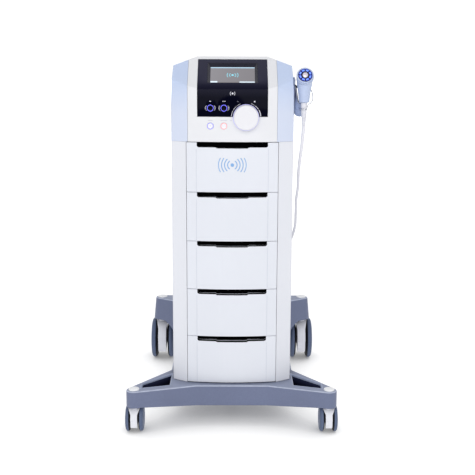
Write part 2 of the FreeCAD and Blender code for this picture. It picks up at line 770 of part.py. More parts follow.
def drawer_tray(index, low):
    """An open tray with an upturned runner along each side."""
    name = "drawer_%d" % index
    wall, height, floor = dim("tray_wall"), dim("tray_height"), low + 12
    depth = dim("tray_rear") - tray_front
    shell = box(name + "_shell", -tray_half, tray_front, floor, tray_half * 2, depth, height)
    room = box(name + "_room", -(tray_half - wall), tray_front + wall, floor + wall,
               (tray_half - wall) * 2, depth - wall * 2, height)
    flanges = [box("%s_runner_%s" % (name, side), low_x(sign, tray_half, 9.0), tray_front + 4,
                   low + 50, 9.0, depth - 8, 3.0) for side, sign in SIDES]
    flanges += [box("%s_lip_%s" % (name, side), low_x(sign, tray_half + 6.0, 3.0),
                    tray_front + 4, low + 53, 3.0, depth - 8, 9.0) for side, sign in SIDES]
    tray = cut(name + "_tray_cut", fuse(name + "_tray_body", [shell] + flanges), room)
    node(tray, name + "_tray")


def drawer_rail(index, low, side, sign):
    """A channel on the chassis wall: a web with a ledge below and a guard above the runner."""
    name = "rail_%d_%s" % (index, side)
    reach = chassis_half - 0.1 - tray_half - 4.0
    web_x = low_x(sign, chassis_half - 3.1, 3.0)
    shelf_x = low_x(sign, tray_half + 4.0, reach)
    return fuse(name, [
        box(name + "_web", web_x, -258, low + 44, 3.0, 318, 24.0),
        box(name + "_ledge", shelf_x, -258, low + 46.4, reach, 318, 3.0),
        box(name + "_guard", shelf_x, -258, low + 62.8, reach, 318, 3.0),
    ])


rails = []
for index in range(1, 6):
    low = dim("drawer_top") - dim("drawer_pitch") * index + dim("drawer_seam")
    drawer_front(index, low)
    drawer_tray(index, low)
    rails += [drawer_rail(index, low, side, sign) for side, sign in SIDES]
node(group("rails_group", rails), "drawer_rails")

# ---------------------------------------------------------------- console: outer form and shells
slope = math.radians(SIZE["slope_deg"])
bend_rad, bend_start = dim("bend_rad"), dim("bend_start")
glass_thick = SIZE["glass_thick"]
seam = dim("head_seam_half")
SEAM_GAP = 0.25
REGION_LOW, REGION_HEIGHT = head_bottom - 1, 260


def console_form(name, d):
    """The console's outside moved inwards by d: front outline, side profile and plan, all
    intersected. The inner forms run on below the console so that they open its underside."""
    low = head_bottom if d == 0 else head_bottom - 20
    front, rear, side, top = col_front + d, col_rear - d, col_half - d, head_top - d
    corner, corner_z = dim("head_corner_half") - d, dim("head_corner_top") - 0.7 * d
    crown = dim("head_flat_half") - 0.35 * d
    face = sketch(None, name + "_face", XZ, [[
        (-side, low), (side, low), (side, 880.0), (corner, corner_z),
        (crown, top), (-crown, top), (-corner, corner_z), (-side, 880.0)]], 320)

    # the front bends back through an arc into the slope, which runs up to the top
    bend = bend_rad - d
    centre_y = col_front + bend_rad
    half_turn = (math.pi / 2 - slope) / 2
    foot_y, foot_z = centre_y - bend * math.sin(slope), bend_start + bend * math.cos(slope)
    bend_mid = (centre_y - bend * math.cos(half_turn), bend_start + bend * math.sin(half_turn))
    head_y = foot_y + (top - foot_z) / math.tan(slope)
    profile = sketch(None, name + "_profile", YZ, [[
        (front, low), (front, bend_start, bend_mid), (foot_y, foot_z), (head_y, top),
        (60.0, top), (col_rear - 8 - d * 0.6, head_top - 14 - d * 0.9),
        (rear, head_top - 24 - d * 0.4), (rear, low)]], -200)

    radius = REAR_CORNER_RAD
    corner_x, corner_y = col_half - radius, col_rear - radius
    arc_x, arc_y = on_circle((corner_x, corner_y), radius - d, 45)
    pillar_x, pillar_y = col_half - 1.6 - 0.9 * d, -264.4 + 0.8 * d
    plan = sketch(None, name + "_plan", XY, [[
        (-98.0, -292.0 + d, (0.0, front)), (98.0, -292.0 + d), (122.0 - 0.2 * d, -288.0 + d),
        (pillar_x, pillar_y), (side, -261.0 + 0.8 * d),
        (side, corner_y, (arc_x, arc_y)), (corner_x, rear),
        (-corner_x, rear, (-arc_x, arc_y)), (-side, corner_y),
        (-side, -261.0 + 0.8 * d), (-pillar_x, pillar_y), (-122.0 + 0.2 * d, -288.0 + d)]], low)
    return common(name, [extrude(name + "_x", face, 480, back=True),
                         extrude(name + "_y", profile, 400), extrude(name + "_z", plan, 260)])


form = console_form("console_outside", 0.0)
# the slope runs into the angled corners through an eased edge
form = fillet("console_outside_eased", form, 9.0,
              lambda e: 122.5 < abs(mid(e).x) < 158 and mid(e).y < -240
              and 890 < mid(e).z < 975 and e.BoundBox.ZLength > 8 and e.BoundBox.XLength > 8)
thin_skin = cut("console_skin", form, console_form("console_inside_shell", 3.0))
thick_skin = cut("console_thick_skin", form, console_form("console_inside_bezel", 5.5))


def slope_box(name, half, start, end, low, high):
    """A box on the sloped face: start to end up the slope from its foot, low to high along
    the outward normal."""
    foot = Vector(0, SIZE["col_front"] + SIZE["bend_rad"] * (1 - math.sin(slope)),
                  SIZE["bend_start"] + SIZE["bend_rad"] * math.cos(slope))
    base = (foot + Vector(0, math.cos(slope), math.sin(slope)) * start
            + Vector(0, -math.sin(slope), math.cos(slope)) * low)
    solid = box(name, 0, 0, 0, half * 2, end - start, high - low)
    return place(solid, -half, base.y, base.z, Rotation(Vector(1, 0, 0), SIZE["slope_deg"]))


def console_side_cover(side, sign):
    width = 200.0 - seam - SEAM_GAP
    region = box(side + "_cover_region", low_x(sign, seam + SEAM_GAP, width), -330, REGION_LOW,
                 width, 330 + 59.8, REGION_HEIGHT)
    cover = common(side + "_cover_cut", [thin_skin, region])
    holes = [cyl(side + "_rail_hole_" + mark, 2.5, 30, low_x(sign, 150, 30), y, 850.0, "x")
             for mark, y in (("a", -60.0), ("b", 0.0))]
    node(cut(side + "_cover", cover, fuse(side + "_cover_holes", holes)),
         "console_%s_cover" % side)


def console_rear_cover():
    """The top between the side covers and the whole back, with vents and handle holes."""
    half = seam - SEAM_GAP
    region = fuse("console_rear_region", [
        box("console_rear_middle", -half, -139.8, REGION_LOW, half * 2, 330, REGION_HEIGHT),
        box("console_rear_wrap", -200, 60.2, REGION_LOW, 400, 200, REGION_HEIGHT)])
    cover = common("console_rear_cut", [thin_skin, region])
    openings = [box("%s_slot_%d" % (name, i), x, 140.0, 856.0 + 12 * i, width, 20.0, 5.0)
                for name, x, width in (("fan", -95.0, 70.0), ("air", 40.0, 55.0))
                for i in range(6)]
    openings += [cyl("handle_hole_" + side, 4.2, 20, sign * HANDLE_X, 140.0, HANDLE_Z, "y")
                 for side, sign in SIDES]
    node(cut("console_rear", cover, fuse("console_rear_slots", openings)), "console_rear_cover")


knob_x, knob_z, button_rad = dim("knob_x"), dim("knob_z"), dim("button_rad")


def glass_and_bezel():
    """The control glass follows the console's outside and lies in a recess of the bezel.
    Both share the display window and the holes for the knob and the buttons."""
    half, low = dim("glass_half"), dim("glass_bottom")
    height = dim("glass_top") - low
    drill = [cyl("drill_knob", 5.1, 60, knob_x, -330, knob_z, "y")]
    drill += [cyl("drill_" + name, button_rad + 0.3, 60, x, -330, z, "y")
              for name, x, z in BUTTONS]
    zone = box("glass_zone", -half, -330, low, half * 2, 330 - 203.0, height)
    seat_zone = box("glass_seat_zone", -(half + 0.3), -330, low - 0.3,
                    (half + 0.3) * 2, 330 - 202.0, height + 0.8)
    inside = console_form("console_inside_glass", glass_thick)
    glass = common("glass_sheet", [cut("glass_skin", form, inside), zone])
    window = slope_box("glass_window", SIZE["window_half"], 6.4, 87.3, -14.0, 12.0)
    holes = fuse("glass_holes", [window] + drill)
    node(cut("glass_cut", glass, holes), "control_glass")

    bezel_half = seam - SEAM_GAP
    region = box("bezel_region", -bezel_half, -330, REGION_LOW,
                 bezel_half * 2, 330 - 140.2, REGION_HEIGHT)
    inside = console_form("console_inside_seat", glass_thick + 0.25)
    recess = common("glass_recess", [cut("glass_seat_skin", form, inside), seat_zone])
    bezel = cut("bezel_recessed", common("bezel_cut", [thick_skin, region]), recess)
    node(cut("bezel_drilled", bezel, holes), "console_bezel")


def display_panel():
    """Display module behind the glass."""
    case = slope_box("display_case", SIZE["window_half"] - 0.5, 6.9, 86.8, -10.0, -2.2)
    screen = slope_box("display_recess", SIZE["display_half"], 8.8,
                       8.8 + SIZE["display_length"], -2.8, 0.0)
    node(cut("display_module", case, screen), "display_panel")


def intensity_knob():
    rad, high = SIZE["knob_rad"], SIZE["knob_height"]
    # radius, distance forward of the knob's back; the shaft runs rearwards
    profile = facets([
        (0.0, -13.0), (3.0, -13.0), (3.0, 0.0),
        (rad - 4.0, 0.0), (rad - 1.2, 1.0, (rad - 0.4, 1.6)),
        (rad, 3.0), (rad - 0.5, high - 4.0, (rad - 1.6, high - 1.6)),
        (rad - 4.5, high, (rad / 2, high - 0.6)), (0.0, high - 0.9)])
    knob = revolve_body("knob", XY, [(x, -y) for x, y in profile], "V_Axis")
    place(knob, knob_x, SIZE["col_front"] - 0.9, knob_z)
    node(knob, "intensity_knob")


def rotary_encoder():
    encoder = fuse("encoder_fused", [
        cyl("encoder_bush", 4.8, 11.5, knob_x, -296.5, knob_z, "y"),
        box("encoder_can", knob_x - 7, -286, knob_z - 7, 14, 8.0, 14)])
    bore = cyl("encoder_bore", 3.05, 15, knob_x, -300, knob_z, "y")
    node(cut("encoder_cut", encoder, bore), "rotary_encoder")


def push_button(name, x, z):
    """A cap with a dished face, and a retaining flange and stem behind the bezel."""
    # the bowed front face at x
    bow = SIZE["bow_edge"] - SIZE["col_front"]
    front = SIZE["col_front"] + bow * (x.value / SIZE["bow_half"]) ** 2 - 1.2
    parts = [cyl(name + "_cap", button_rad, 8.2, x, front, z, "y"),
             cyl(name + "_flange", button_rad + 1.6, 2.0, x, front + 8.0, z, "y"),
             cyl(name + "_stem", 2.0, 1.8, x, front + 10.0, z, "y")]
    dish = sphere(name + "_dish", 30.0, x, front - 29.5, z)
    node(cut(name + "_cut", fuse(name + "_body", parts), dish), name)


for side, sign in SIDES:
    console_side_cover(side, sign)
console_rear_cover()
glass_and_bezel()
display_panel()
intensity_knob()
rotary_encoder()
for name, x, z in BUTTONS:
    push_button(name, x, z)

# ---------------------------------------------------------------- electronics
# components on the board: x, z, width, height, thickness
BOARD_PARTS = (
    (-70, 800, 30, 22, 6), (-30, 802, 22, 22, 3), (0, 800, 16, 30, 9),
    (40, 868, 36, 20, 7), (-60, 880, 50, 10, 4), (64, 800, 18, 40, 11),
)
FAN_X, FAN_Z, FAN_BLADES = -60.0, 889.0, 7


def control_board():
    parts = [box("board_sheet", -86, -277.6, 797, 172, 1.6, 100)]
    for i, (x, z, width, height, thickness) in enumerate(BOARD_PARTS):
        parts.append(box("board_part_%d" % i, x, -276.2, z, width, thickness, height))
    for name, x, z in BUTTONS:
        parts.append(box(name + "_switch", x - 3.5, -283.5, z - 3.5, 7, 6.5, 7))
    node(fuse("board_fused", parts), "control_board")


def ultrasound_generator():
    """A case with a row of fins on top."""
    parts = [box("generator_case", -118, -110, head_bottom + 2.0, 130, 170, 50)]
    parts += [box("generator_fin_%d" % i, -116 + 12 * i, -100, head_bottom + 51.0, 3, 150, 22)
              for i in range(11)]
    node(fuse("generator_fused", parts), "ultrasound_generator")


def power_supply():
    """A block with a row of slots in its top."""
    block = box("psu_block", 34, -100, head_bottom + 2.0, 88, 160, 44)
    slots = [box("psu_slot_%d" % i, 44, -90 + 16 * i, head_bottom + 40, 68, 8, 10)
             for i in range(9)]
    node(cut("psu_case", block, fuse("psu_slots", slots)), "power_supply")


def fan_housing():
    """A square frame with two crossed spokes behind that carry the motor plate and a stub."""
    frame = cut("fan_case_cut", box("fan_block", FAN_X - 40, 122.0, FAN_Z - 40, 80, 20, 80),
                cyl("fan_tunnel", 37.5, 40, FAN_X, 112, FAN_Z, "y"))
    length, width = 76.0, 4.0
    spokes = []
    for i, degrees in enumerate((-45, 45)):
        cosine, sine = math.cos(math.radians(degrees)), math.sin(math.radians(degrees))
        spoke = box("fan_spoke_%d" % i, 0, 0, 0, length, 2.5, width)
        spokes.append(place(spoke, FAN_X - length / 2 * cosine + width / 2 * sine, 139.4,
                            FAN_Z - length / 2 * sine - width / 2 * cosine,
                            Rotation(Vector(0, 1, 0), -degrees)))
    stub = cyl("fan_stub", 2.5, 12.0, FAN_X, 129.0, FAN_Z, "y")
    motor = cyl("fan_motor_plate", 15.0, 2.4, FAN_X, 139.5, FAN_Z, "y")
    node(fuse("fan_frame_fused", [frame] + spokes + [stub, motor]), "fan_housing")


def fan_rotor():
    length, thickness, chord = 23.0, 1.6, 13.0
    blades = []
    for i in range(FAN_BLADES):
        turn = Rotation(Vector(0, 1, 0), -360.0 * i / FAN_BLADES)
        lean = turn.multiply(Rotation(Vector(1, 0, 0), -50))
        base = (Vector(FAN_X, 131.0, FAN_Z) + turn.multVec(Vector(11.5, 0, 0))
                - lean.multVec(Vector(0, thickness / 2, chord / 2)))
        blade = box("blade_%d" % i, 0, 0, 0, length, thickness, chord)
        blades.append(place(blade, base.x, base.y, base.z, lean))
    hub = cyl("rotor_hub", 14.0, 12.0, FAN_X, 125.0, FAN_Z, "y")
    bore = cyl("rotor_bore", 2.55, 10.5, FAN_X, 128.4, FAN_Z, "y")
    node(cut("rotor_bored", fuse("rotor_fused", [hub] + blades), bore), "fan_rotor")


control_board()
ultrasound_generator()
power_supply()
fan_housing()
fan_rotor()


# ---------------------------------------------------------------- rear fittings
def mains_inlet():
    shell = fuse("inlet_body", [box("inlet_block", -73.7, 126, 235.3, 29.4, 26, 23.4),
                                box("inlet_flange", -84, 150.2, 229, 50, 2.4, 36)])
    hollow = [box("inlet_well", -71, 136, 238, 24, 20, 18),
              cyl("inlet_screw_a", 1.8, 10, -79.5, 148, FITTING_Z, "y"),
              cyl("inlet_screw_b", 1.8, 10, -38.5, 148, FITTING_Z, "y")]
    inlet = cut("inlet_cut", shell, fuse("inlet_hollow", hollow))
    pins = [box("inlet_pin_%d" % i, x, 130, z, 2, 18, 4)
            for i, (x, z) in enumerate(((-67, 243), (-60, 248), (-53, 243)))]
    node(fuse("inlet_fused", [inlet] + pins), "mains_inlet")


def power_switch():
    """A rocker: a round bar across the opening, cut flat in front and behind."""
    rocker = common("rocker_cut", [
        cyl("rocker_round", 9.8, 19.6, -28.8, 143.0, FITTING_Z, "x"),
        box("rocker_flat", -28.8, 134, FITTING_Z - 10, 19.6, 17.8, 20)])
    node(rocker, "power_switch")


def equipotential_pin():
    # name, radius, length, y of the front end
    steps = (("pin", 3.0, 24.0, 144), ("body", 5.0, 8.0, 144), ("flange", 8.0, 2.5, 150.2))
    parts = [cyl("eq_" + name, radius, length, PIN_X, y, FITTING_Z, "y")
             for name, radius, length, y in steps]
    node(fuse("eq_fused", parts), "equipotential_pin")


def push_handle():
    """A bar bent forward at both ends onto feet on the console's back."""
    bar_y, rad, bend, foot_y = 208.0, 11.0, 30.0, 150.4
    bar_half = HANDLE_X - bend
    parts = [cyl("handle_bar", rad, bar_half * 2, -bar_half, bar_y, HANDLE_Z, "x")]
    for side, sign in SIDES:
        x = sign * HANDLE_X
        parts.append(cyl("handle_leg_" + side, rad, bar_y - bend - foot_y,
                         x, foot_y, HANDLE_Z, "y"))
        parts.append(cyl("handle_foot_" + side, 17.0, 5.0, x, foot_y, HANDLE_Z, "y"))
        parts.append(cyl("handle_stud_" + side, 4.0, 9.0, x, 142.0, HANDLE_Z, "y"))
        elbow = doc.addObject("Part::Torus", "handle_bend_" + side)
        elbow.Radius1, elbow.Radius2, elbow.Angle3 = bend, rad, 90.0
        parts.append(place(elbow, sign * bar_half, bar_y - bend, HANDLE_Z,
                           Rotation(Vector(0, 0, 1), 0 if sign > 0 else 90)))
    node(fuse("handle_fused", parts), "push_handle")


def rear_cover_screws():
    screws = []
    for _, sign in SIDES:
        x = sign * SCREW_X
        for z in SCREW_LEVELS:
            tag = "_%d_%d" % (sign, z)
            head = cyl("screw_head" + tag, 4.2, 2.4, x, 150.05, z, "y")
            shank = cyl("screw_shank" + tag, 2.0, 12.0, x, 140.0, z, "y")
            slot = box("screw_slot" + tag, x - 3, 151.5, z - 0.5, 6, 2, 1.0)
            screws.append(cut("screw" + tag, fuse("screw_blank" + tag, [head, shank]), slot))
    node(group("screws_group", screws), "rear_cover_screws")


mains_inlet()
power_switch()
equipotential_pin()
push_handle()
rear_cover_screws()

# ---------------------------------------------------------------- applicator, holder and cable
holder_x, holder_y = dim("holder_x"), dim("holder_y")
CUP_X, CUP_Y, CUP_Z, CUP_RAD = 181.0, -214.0, 866.0, 16.5
# centre line of the wire that reaches round the applicator: x, y, z
KEEPER = [
    (165.0, -216.0, 932.0), (178.0, -219.0, 933.0), (192.0, -220.0, 932.5),
    (204.5, -223.5, 929.0), (211.5, -232.0, 918.0), (214.0, -240.0, 905.0),
    (213.0, -246.5, 895.0), (207.5, -251.5, 887.5), (200.5, -254.8, 882.0),
    (198.6, -255.4, 875.0), (195.5, -258.0, 870.6), (190.0, -259.2, 870.2),
    (183.5, -257.0, 871.0), (179.4, -249.0, 872.5), (178.2, -240.0, 874.0),
    (178.6, -229.4, 876.0),
]
# centre line of the short wire at the top of the holder: x, y, z
LOOP = [(164.6, -208.0, 952.5), (166.8, -207.8, 951.0), (168.4, -207.6, 945.0),
        (168.6, -207.8, 938.0), (168.2, -209.5, 930.5)]
# centre line of the cable, from the applicator round the right side to the socket: x, y, z
CABLE = [
    (190.6, -247.0, 828.6), (189.6, -246.5, 812.0), (186.8, -241.0, 772.0),
    (183.6, -226.0, 735.0), (182.6, -200.0, 696.0), (184.0, -170.0, 654.0),
    (182.4, -135.0, 612.0), (184.8, -95.0, 566.0), (186.6, -55.0, 524.0),
    (183.0, -15.0, 490.0), (178.5, 30.0, 462.0), (176.0, 80.0, 448.0),
    (173.5, 130.0, 454.0), (160.0, 176.0, 494.0), (128.0, 196.0, 568.0),
    (104.0, 196.0, 640.0), (96.5, 186.0, 686.0), (SOCKET_X, 168.0, SOCKET_Z),
    (SOCKET_X, 156.0, SOCKET_Z),
]


def applicator_holder():
    """A round-bottomed cup beside the handle, open at the front above its rim, on a plate
    against the console, with a clip and two bent wires."""
    plate = box("holder_plate", 163.5, -226.0, 852.0, 2.6, 24.0, 88.0)
    tube = cyl("holder_tube", CUP_RAD, 68.0, CUP_X, CUP_Y, CUP_Z)
    sheath = fuse("holder_sheath", [tube, plate])
    ball = sphere("holder_ball", CUP_RAD, CUP_X, CUP_Y, CUP_Z)
    bore = cyl("holder_bore", 14.3, 80.0, CUP_X, CUP_Y, CUP_Z + 2.0)
    front_away = box("holder_front_cut", 166.6, -240.0, 888.0, 40.0, 26.5, 60.0)
    cup = cut("holder_cup_cut", fuse("holder_cup_body", [sheath, ball]),
              fuse("holder_tools", [bore, front_away]))
    clip = box("holder_clip", 166.0, -221.0, 925.0, 6.5, 8.0, 6.0)
    keeper = shape_object("holder_wire", pipe(KEEPER, 1.3))
    loop = shape_object("holder_loop", pipe(LOOP, 1.2))
    hang = box("holder_hang", 163.5, -212.0, 939.0, 2.6, 10.0, 16.0)
    node(fuse("holder_all", [cup, clip, keeper, loop, hang]), "applicator_holder")


# the head faces forward and up, in line with its barrel
BARREL_LENGTH = 25.0
head_tilt = math.radians(28.0)
head_axis = Vector(0, -math.cos(head_tilt), math.sin(head_tilt))
head_face = Vector(SIZE["holder_x"], SIZE["holder_y"], 949.0) + head_axis * BARREL_LENGTH


def head_cyl(name, radius, height, depth):
    """A cylinder along the head's axis that starts at a depth below the head's face."""
    base = head_face - head_axis * depth
    return cyl(name, radius, height, base.x, base.y, base.z,
               rot=Rotation(Vector(0, 0, 1), head_axis))


def applicator_body():
    # radius, z
    profile = facets([
        (0.0, 888.6), (12.7, 888.6, (13.8, 889.4)), (14.1, 891.0), (15.4, 905.0, (17.9, 924.0)),
        (22.0, 941.0), (23.0, 949.0, (16.26, 965.26)), (0.0, 972.0)], 7)
    stem = revolve_body("applicator_stem", XZ, profile, "V_Axis")
    place(stem, holder_x, holder_y, 0)
    barrel = head_cyl("applicator_barrel", 22.6, BARREL_LENGTH, BARREL_LENGTH)
    barrel = fillet("applicator_barrel_eased", barrel, 2.5,
                    lambda e: mid(e).y < SIZE["holder_y"] - 8)
    seats = [head_cyl("applicator_seat", 18.4, 10.0, 3.2),
             head_cyl("applicator_core_seat", 7.4, 10.0, 9.0)]
    shell = fuse("applicator_shell", [stem, barrel])
    node(cut("applicator_cut", shell, fuse("applicator_seats", seats)), "applicator_body")


def applicator_head():
    """The light ring and the transducer disc inside it."""
    ring = cut("light_ring_cut", head_cyl("light_ring_blank", 18.2, 3.6, 3.1),
               head_cyl("light_ring_hole", 7.7, 10.0, 6.1))
    node(ring, "applicator_light_ring")
    node(head_cyl("transducer_disc", 7.2, 10.4, 8.9), "transducer")


def strain_relief():
    # radius, z
    profile = facets([
        (0.0, 829.0), (4.9, 829.0), (5.3, 832.0, (6.3, 850.0)), (8.1, 867.0),
        (8.4, 870.0, (7.4, 871.4)), (6.8, 872.2), (6.8, 873.4), (8.5, 874.4), (8.5, 888.3),
        (0.0, 888.3)], 5)
    relief = revolve_body("relief", XZ, profile, "V_Axis")
    place(relief, holder_x, holder_y, 0)
    node(relief, "applicator_strain_relief")


def applicator_cable():
    """The cable with its stepped plug in the rear cover."""
    back = Vector(0, 1, 0)
    plug = Part.makeCylinder(9.0, 16.0, Vector(SOCKET_X, 151.5, SOCKET_Z), back)
    plug = plug.fuse(Part.makeCylinder(10.8, 20.0, Vector(SOCKET_X, 132.0, SOCKET_Z), back))
    shape = pipe(CABLE, 4.0).fuse(plug).removeSplitter()
    node(shape_object("cable", shape), "applicator_cable")


applicator_holder()
applicator_body()
applicator_head()
strain_relief()
applicator_cable()

# ---------------------------------------------------------------- check and write
doc.recompute()
check_states("at the end")
names = [o.Label for o in NODES]
if len(names) != len(set(names)):
    raise SystemExit("two pieces share a label")
for piece in NODES:
    if piece.Shape.isNull() or not piece.Shape.isValid() or not piece.Shape.Solids:
        raise SystemExit("%s has no valid solid" % piece.Label)
os.makedirs("parts", exist_ok=True)
for old in os.listdir("parts"):
    if old.endswith(".step"):
        os.remove(os.path.join("parts", old))
for piece in NODES:
    piece.Shape.exportStep("parts/%s.step" % piece.Label)
print("wrote", len(NODES), "pieces")
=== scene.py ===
# A mobile ultrasound therapy cart: a cast base on four twin-wheel casters, a tower with five
# drawers, a console with a sloped display, and a hand applicator in a holder on its right side.
# Metres, +Z up, floor at z = 0. The front faces -Y; left is -X and right is +X.
import bpy
import bmesh
import json
import math
from collections import namedtuple
from mathutils import Matrix, Vector

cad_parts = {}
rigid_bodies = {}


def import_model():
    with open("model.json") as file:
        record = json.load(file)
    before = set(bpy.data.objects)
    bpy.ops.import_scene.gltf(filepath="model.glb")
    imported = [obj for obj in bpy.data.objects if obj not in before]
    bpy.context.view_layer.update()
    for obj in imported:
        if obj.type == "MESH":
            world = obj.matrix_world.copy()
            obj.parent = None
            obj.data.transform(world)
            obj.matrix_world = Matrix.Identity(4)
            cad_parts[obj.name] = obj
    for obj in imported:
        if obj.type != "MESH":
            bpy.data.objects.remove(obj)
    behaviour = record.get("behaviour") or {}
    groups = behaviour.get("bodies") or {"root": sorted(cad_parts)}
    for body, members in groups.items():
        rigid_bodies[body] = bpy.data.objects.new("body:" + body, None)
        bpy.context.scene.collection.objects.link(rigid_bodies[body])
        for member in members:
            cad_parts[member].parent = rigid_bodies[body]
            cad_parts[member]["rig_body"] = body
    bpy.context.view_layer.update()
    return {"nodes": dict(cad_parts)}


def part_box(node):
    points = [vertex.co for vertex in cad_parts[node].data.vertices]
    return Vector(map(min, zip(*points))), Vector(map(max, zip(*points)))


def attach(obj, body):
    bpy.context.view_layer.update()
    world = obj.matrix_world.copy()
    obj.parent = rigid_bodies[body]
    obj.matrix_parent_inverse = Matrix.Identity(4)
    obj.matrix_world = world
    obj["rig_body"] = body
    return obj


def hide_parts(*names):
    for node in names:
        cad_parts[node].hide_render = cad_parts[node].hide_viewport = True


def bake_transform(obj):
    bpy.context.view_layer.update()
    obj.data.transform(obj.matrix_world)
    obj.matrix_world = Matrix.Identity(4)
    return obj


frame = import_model()
NODES = frame["nodes"]
scene = bpy.context.scene

MM = 0.001
SIDES = (("left", -1), ("right", 1))

# The console front stands upright, then bends back into the display slope.
FRONT_Y = -0.299
FRONT_BOW, FRONT_HALF = 0.007, 0.098    # how far the front has bowed back at this half width
BEND_RADIUS, BEND_Z = 0.043, 0.903
SLOPE = math.radians(40.0)
SLOPE_START = Vector((0.0, FRONT_Y + BEND_RADIUS - BEND_RADIUS * math.sin(SLOPE),
                      BEND_Z + BEND_RADIUS * math.cos(SLOPE)))

# Controls on the upright front, as x and z
BUTTON_LEFT_X, BUTTON_RIGHT_X = -0.058, -0.0224
CHANNEL_Z, START_STOP_Z = 0.875, 0.8285
KNOB_X, KNOB_Z = 0.0354, 0.851


def front_y(x):
    return FRONT_Y + FRONT_BOW * (x / FRONT_HALF) ** 2


def on_front(x, z, out):
    """A point on the bowed upright front, raised outwards."""
    return Vector((x, front_y(x) - out, z))


def on_slope(x, up, out):
    """A point on the display slope: up runs along the slope, out is square to it."""
    return Vector((x, SLOPE_START.y + up * math.cos(SLOPE) - out * math.sin(SLOPE),
                   SLOPE_START.z + up * math.sin(SLOPE) + out * math.cos(SLOPE)))


# ---------------------------------------------------------------- shader node helpers
MATERIALS = {}


def srgb(colour):
    """An 8-bit sRGB triple as a linear RGBA colour."""
    def linear(value):
        value = value / 255.0
        return value / 12.92 if value <= 0.04045 else ((value + 0.055) / 1.055) ** 2.4
    return tuple(linear(value) for value in colour) + (1.0,)


def scaled(colour, factor):
    return tuple(min(1.0, value * factor) for value in colour[:3]) + (1.0,)


class Nodes:
    """The node tree of a material or a world, with short calls for the common nodes."""

    def __init__(self, owner):
        owner.use_nodes = True
        self.tree = owner.node_tree
        self.tree.nodes.clear()
        self.coords = self.node("ShaderNodeTexCoord").outputs
        self.geometry_node = None

    def fill(self, node, inputs):
        """Sets each input to a value, or links it when given a socket."""
        for key, value in inputs.items():
            if isinstance(value, bpy.types.NodeSocket):
                self.tree.links.new(value, node.inputs[key])
            else:
                node.inputs[key].default_value = value

    def node(self, kind, inputs=None, **settings):
        node = self.tree.nodes.new(kind)
        for key, value in settings.items():
            setattr(node, key, value)
        self.fill(node, inputs or {})
        return node

    def noise(self, scale, detail=2.0, roughness=0.5, stretch=None):
        vector = self.coords["Object"]
        if stretch:
            mapping = self.node("ShaderNodeMapping", {"Scale": stretch, "Vector": vector})
            vector = mapping.outputs[0]
        return self.node("ShaderNodeTexNoise", {
            "Scale": scale, "Detail": detail, "Roughness": roughness,
            "Vector": vector}).outputs["Fac"]

    def remap(self, source, span, to=(0.0, 1.0)):
        return self.node("ShaderNodeMapRange", {
            0: source, 1: span[0], 2: span[1], 3: to[0], 4: to[1]}).outputs[0]

    def math(self, operation, first, second):
        return self.node("ShaderNodeMath", {0: first, 1: second}, operation=operation).outputs[0]

    def times(self, first, second):
        return self.math("MULTIPLY", first, second)

    def tint(self, factor, first, second):
        return self.node("ShaderNodeMix", {6: first, 7: second, 0: factor},
                         data_type="RGBA").outputs[2]

    def axis(self, vector, letter):
        return self.node("ShaderNodeSeparateXYZ", {0: vector}).outputs[letter]

    def geometry(self, output):
        if self.geometry_node is None:
            self.geometry_node = self.node("ShaderNodeNewGeometry")
        return self.geometry_node.outputs[output]

    def height(self):
        return self.axis(self.geometry("Position"), "Z")

    def ambient(self, samples, distance):
        return self.node("ShaderNodeAmbientOcclusion", {"Distance": distance},
                         samples=samples).outputs["AO"]

    def bevel(self, radius):
        return self.node("ShaderNodeBevel", {"Radius": radius}, samples=4).outputs[0]


def new_material(name):
    """A material kept in MATERIALS under its name; returns its nodes, with the shader."""
    MATERIALS[name] = bpy.data.materials.new(name)
    tree = Nodes(MATERIALS[name])
    tree.shader = tree.node("ShaderNodeBsdfPrincipled")
    tree.node("ShaderNodeOutputMaterial", {0: tree.shader.outputs[0]})
    return tree


def mottled(tree, colour, fine, mottle, fleck):
    """A slow drift of the colour with fine flecks over it."""
    drift = tree.remap(tree.noise(scale=4.5, detail=3.0), span=(0.3, 0.7))
    shade = tree.tint(drift, scaled(colour, 1.0 - mottle), scaled(colour, 1.0 + mottle))
    speck = tree.times(tree.remap(fine, span=(0.35, 0.65)), min(1.0, mottle * 4))
    return tree.tint(speck, shade, srgb(fleck) if fleck else scaled(colour, 0.90))


def painted_edge_light_and_shade(tree, shade, mid, bevel, edge, pale, casting):
    """Paints a highlight on the edges; casting adds a painted highlight on upper edges, a painted
    lighter top and painted shade in recesses.
    """
    # painted highlight: edges found with a wide bevel normal are lightened
    wide = tree.bevel(radius=bevel * 2.2)
    normal = tree.geometry("Normal")
    facing = tree.node("ShaderNodeVectorMath", {0: wide, 1: normal}, operation="DOT_PRODUCT")
    near = tree.remap(facing.outputs["Value"], span=(0.995, 0.80))
    near = tree.times(near, tree.remap(mid, span=(0.30, 0.6), to=(0.6, 1.0)))
    if casting:
        pale, top, deep = (srgb(casting[key]) for key in ("edge", "top", "deep"))
        near = tree.times(near, tree.remap(tree.axis(wide, "Z"), span=(0.15, 0.55)))
        # painted light: surfaces facing up are tinted towards the lighter top colour
        upward = tree.axis(normal, "Z")
        shade = tree.tint(tree.remap(upward, span=(0.5, 0.95)), shade, top)
        # painted highlight on surfaces that turn from the sides to the top
        turn = tree.times(tree.remap(upward, span=(0.22, 0.45)),
                          tree.remap(upward, span=(0.985, 0.90)))
        turn = tree.times(turn, tree.remap(mid, span=(0.30, 0.6), to=(0.55, 0.95)))
        shade = tree.tint(turn, shade, pale)
        # painted shade: recesses with little open sky are darkened towards the deep colour
        open_sky = tree.ambient(samples=8, distance=0.07)
        shade = tree.tint(tree.remap(open_sky, span=(0.72, 0.36)), shade, deep)
    return tree.tint(tree.times(near, edge), shade, pale)


